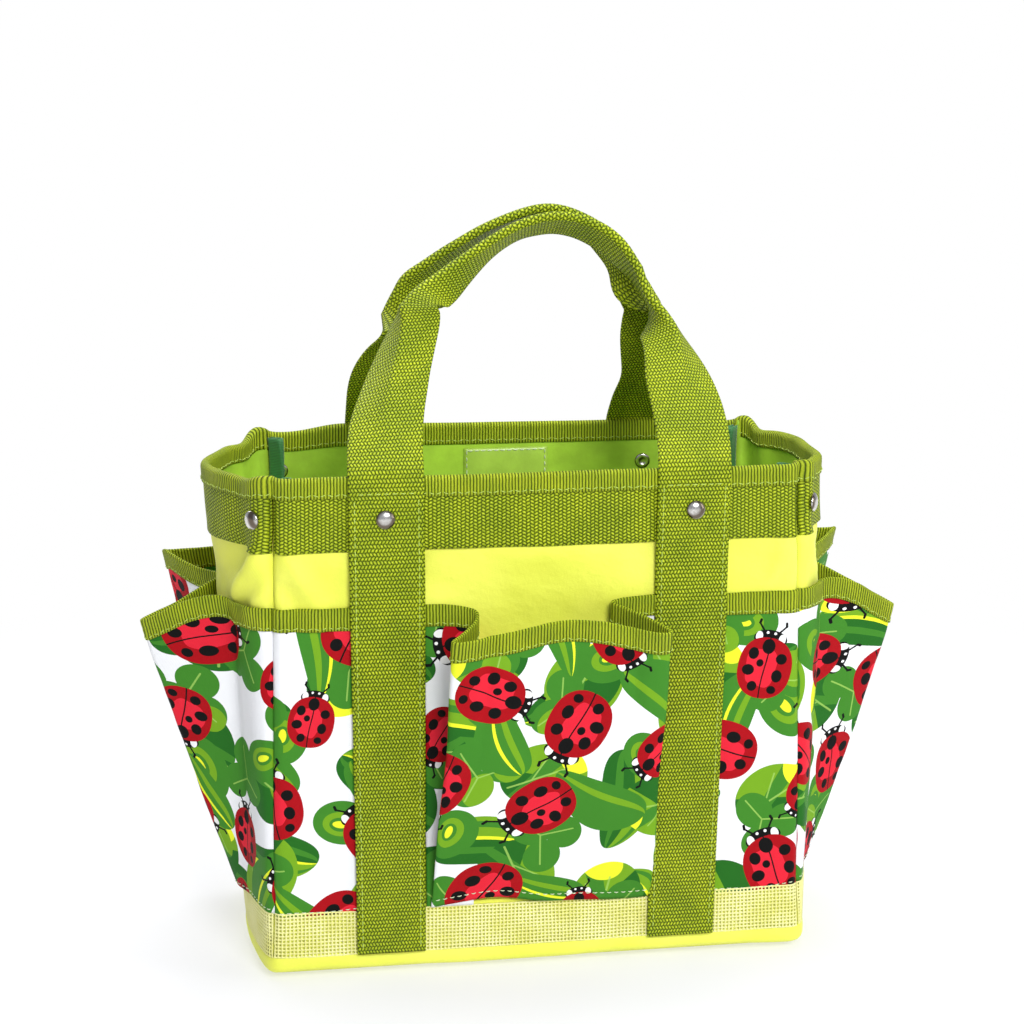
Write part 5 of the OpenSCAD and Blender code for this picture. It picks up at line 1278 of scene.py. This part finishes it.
# ================================================================ studio
def area(name, loc, target, size, power, col=(1, 1, 1)):
    li = bpy.data.lights.new(name, "AREA"); li.shape = "RECTANGLE"; li.size, li.size_y = size; li.energy = power; li.color = col
    ob = bpy.data.objects.new(name, li); bpy.context.scene.collection.objects.link(ob)
    from mathutils import Vector
    ob.location = loc
    ob.rotation_euler = (Vector(target) - Vector(loc)).to_track_quat("-Z", "Y").to_euler()
    return ob
floor = bpy.data.meshes.new("floor")
floor.from_pydata([(-6, -6, 0), (6, -6, 0), (6, 8, 0), (-6, 8, 0)], [], [(0, 1, 2, 3)])
fo = bpy.data.objects.new("floor", floor); bpy.context.scene.collection.objects.link(fo)
fm = bpy.data.materials.new("floor"); fm.use_nodes = True
nt = fm.node_tree; fb = nt.nodes["Principled BSDF"]; fb.inputs["Base Color"].default_value = (0.88, 0.885, 0.92, 1); fb.inputs["Roughness"].default_value = 0.75
fb.inputs["Specular IOR Level"].default_value = 0.2
em = nt.nodes.new("ShaderNodeEmission"); em.inputs[0].default_value = (1, 1, 1, 1); em.inputs[1].default_value = 1.0
mx = nt.nodes.new("ShaderNodeMixShader"); tc = nt.nodes.new("ShaderNodeTexCoord")
ln = nt.nodes.new("ShaderNodeVectorMath"); ln.operation = "LENGTH"; nt.links.new(tc.outputs["Object"], ln.inputs[0])
mr = nt.nodes.new("ShaderNodeMapRange"); mr.interpolation_type = "SMOOTHSTEP"; mr.inputs[1].default_value = 0.25; mr.inputs[2].default_value = 0.75
mr.inputs[3].default_value = 0.55; mr.inputs[4].default_value = 1.0
nt.links.new(ln.outputs["Value"], mr.inputs[0]); nt.links.new(mr.outputs[0], mx.inputs[0])
nt.links.new(fb.outputs[0], mx.inputs[1]); nt.links.new(em.outputs[0], mx.inputs[2]); nt.links.new(mx.outputs[0], nt.nodes["Material Output"].inputs[0])
floor.materials.append(fm); fo.location = (0, 0, -0.0005)
world = bpy.data.worlds.new("studio"); bpy.context.scene.world = world; world.use_nodes = True
wt = world.node_tree; bg = wt.nodes["Background"]; bg.inputs[0].default_value = (0.90, 0.93, 1.0, 1); bg.inputs[1].default_value = 0.40
bg2 = wt.nodes.new("ShaderNodeBackground"); bg2.inputs[0].default_value = (1, 1, 1, 1); bg2.inputs[1].default_value = 1.0
lp = wt.nodes.new("ShaderNodeLightPath"); ms = wt.nodes.new("ShaderNodeMixShader")
wt.links.new(lp.outputs["Is Camera Ray"], ms.inputs[0]); wt.links.new(bg.outputs[0], ms.inputs[1]); wt.links.new(bg2.outputs[0], ms.inputs[2]); wt.links.new(ms.outputs[0], wt.nodes["World Output"].inputs[0])
area("key", (0.30, -1.60, 1.20), (0, 0, 0.18), (0.7, 0.6), 27)
area("right", (1.4, -0.7, 0.7), (0, 0, 0.15), (0.5, 0.9), 6)
area("top", (0.1, 0.25, 1.5), (0, 0, 0.2), (0.9, 0.7), 16)
area("rear", (-0.7, 1.3, 1.2), (0, 0, 0.15), (0.9, 0.9), 9)

cam = bpy.data.cameras.new("camera"); co = bpy.data.objects.new("camera", cam); bpy.context.scene.collection.objects.link(co)
yaw, pitch, rollc, dist = math.radians(-8.160), math.radians(12.455), math.radians(-0.083), 1.0735
T = np.array([-5.51, 0, 231.48]) * MM
back = np.array([math.sin(yaw) * math.cos(pitch), -math.cos(yaw) * math.cos(pitch), math.sin(pitch)])
from mathutils import Matrix, Vector
zc = Vector(back); xc = Vector((0, 0, 1)).cross(zc).normalized(); yc = zc.cross(xc)
Rm = Matrix((xc, yc, zc)).transposed().to_4x4() @ Matrix.Rotation(rollc, 4, "Z")
co.matrix_world = Matrix.Translation(Vector(T + back * dist)) @ Rm
cam.sensor_width = 36.0; cam.lens = 1997.0 / 1024 * 36; cam.clip_start = 0.02; cam.clip_end = 50
bpy.context.scene.camera = co
bpy.context.scene.view_settings.view_transform = "Standard"
bpy.context.scene.view_settings.look = "None"

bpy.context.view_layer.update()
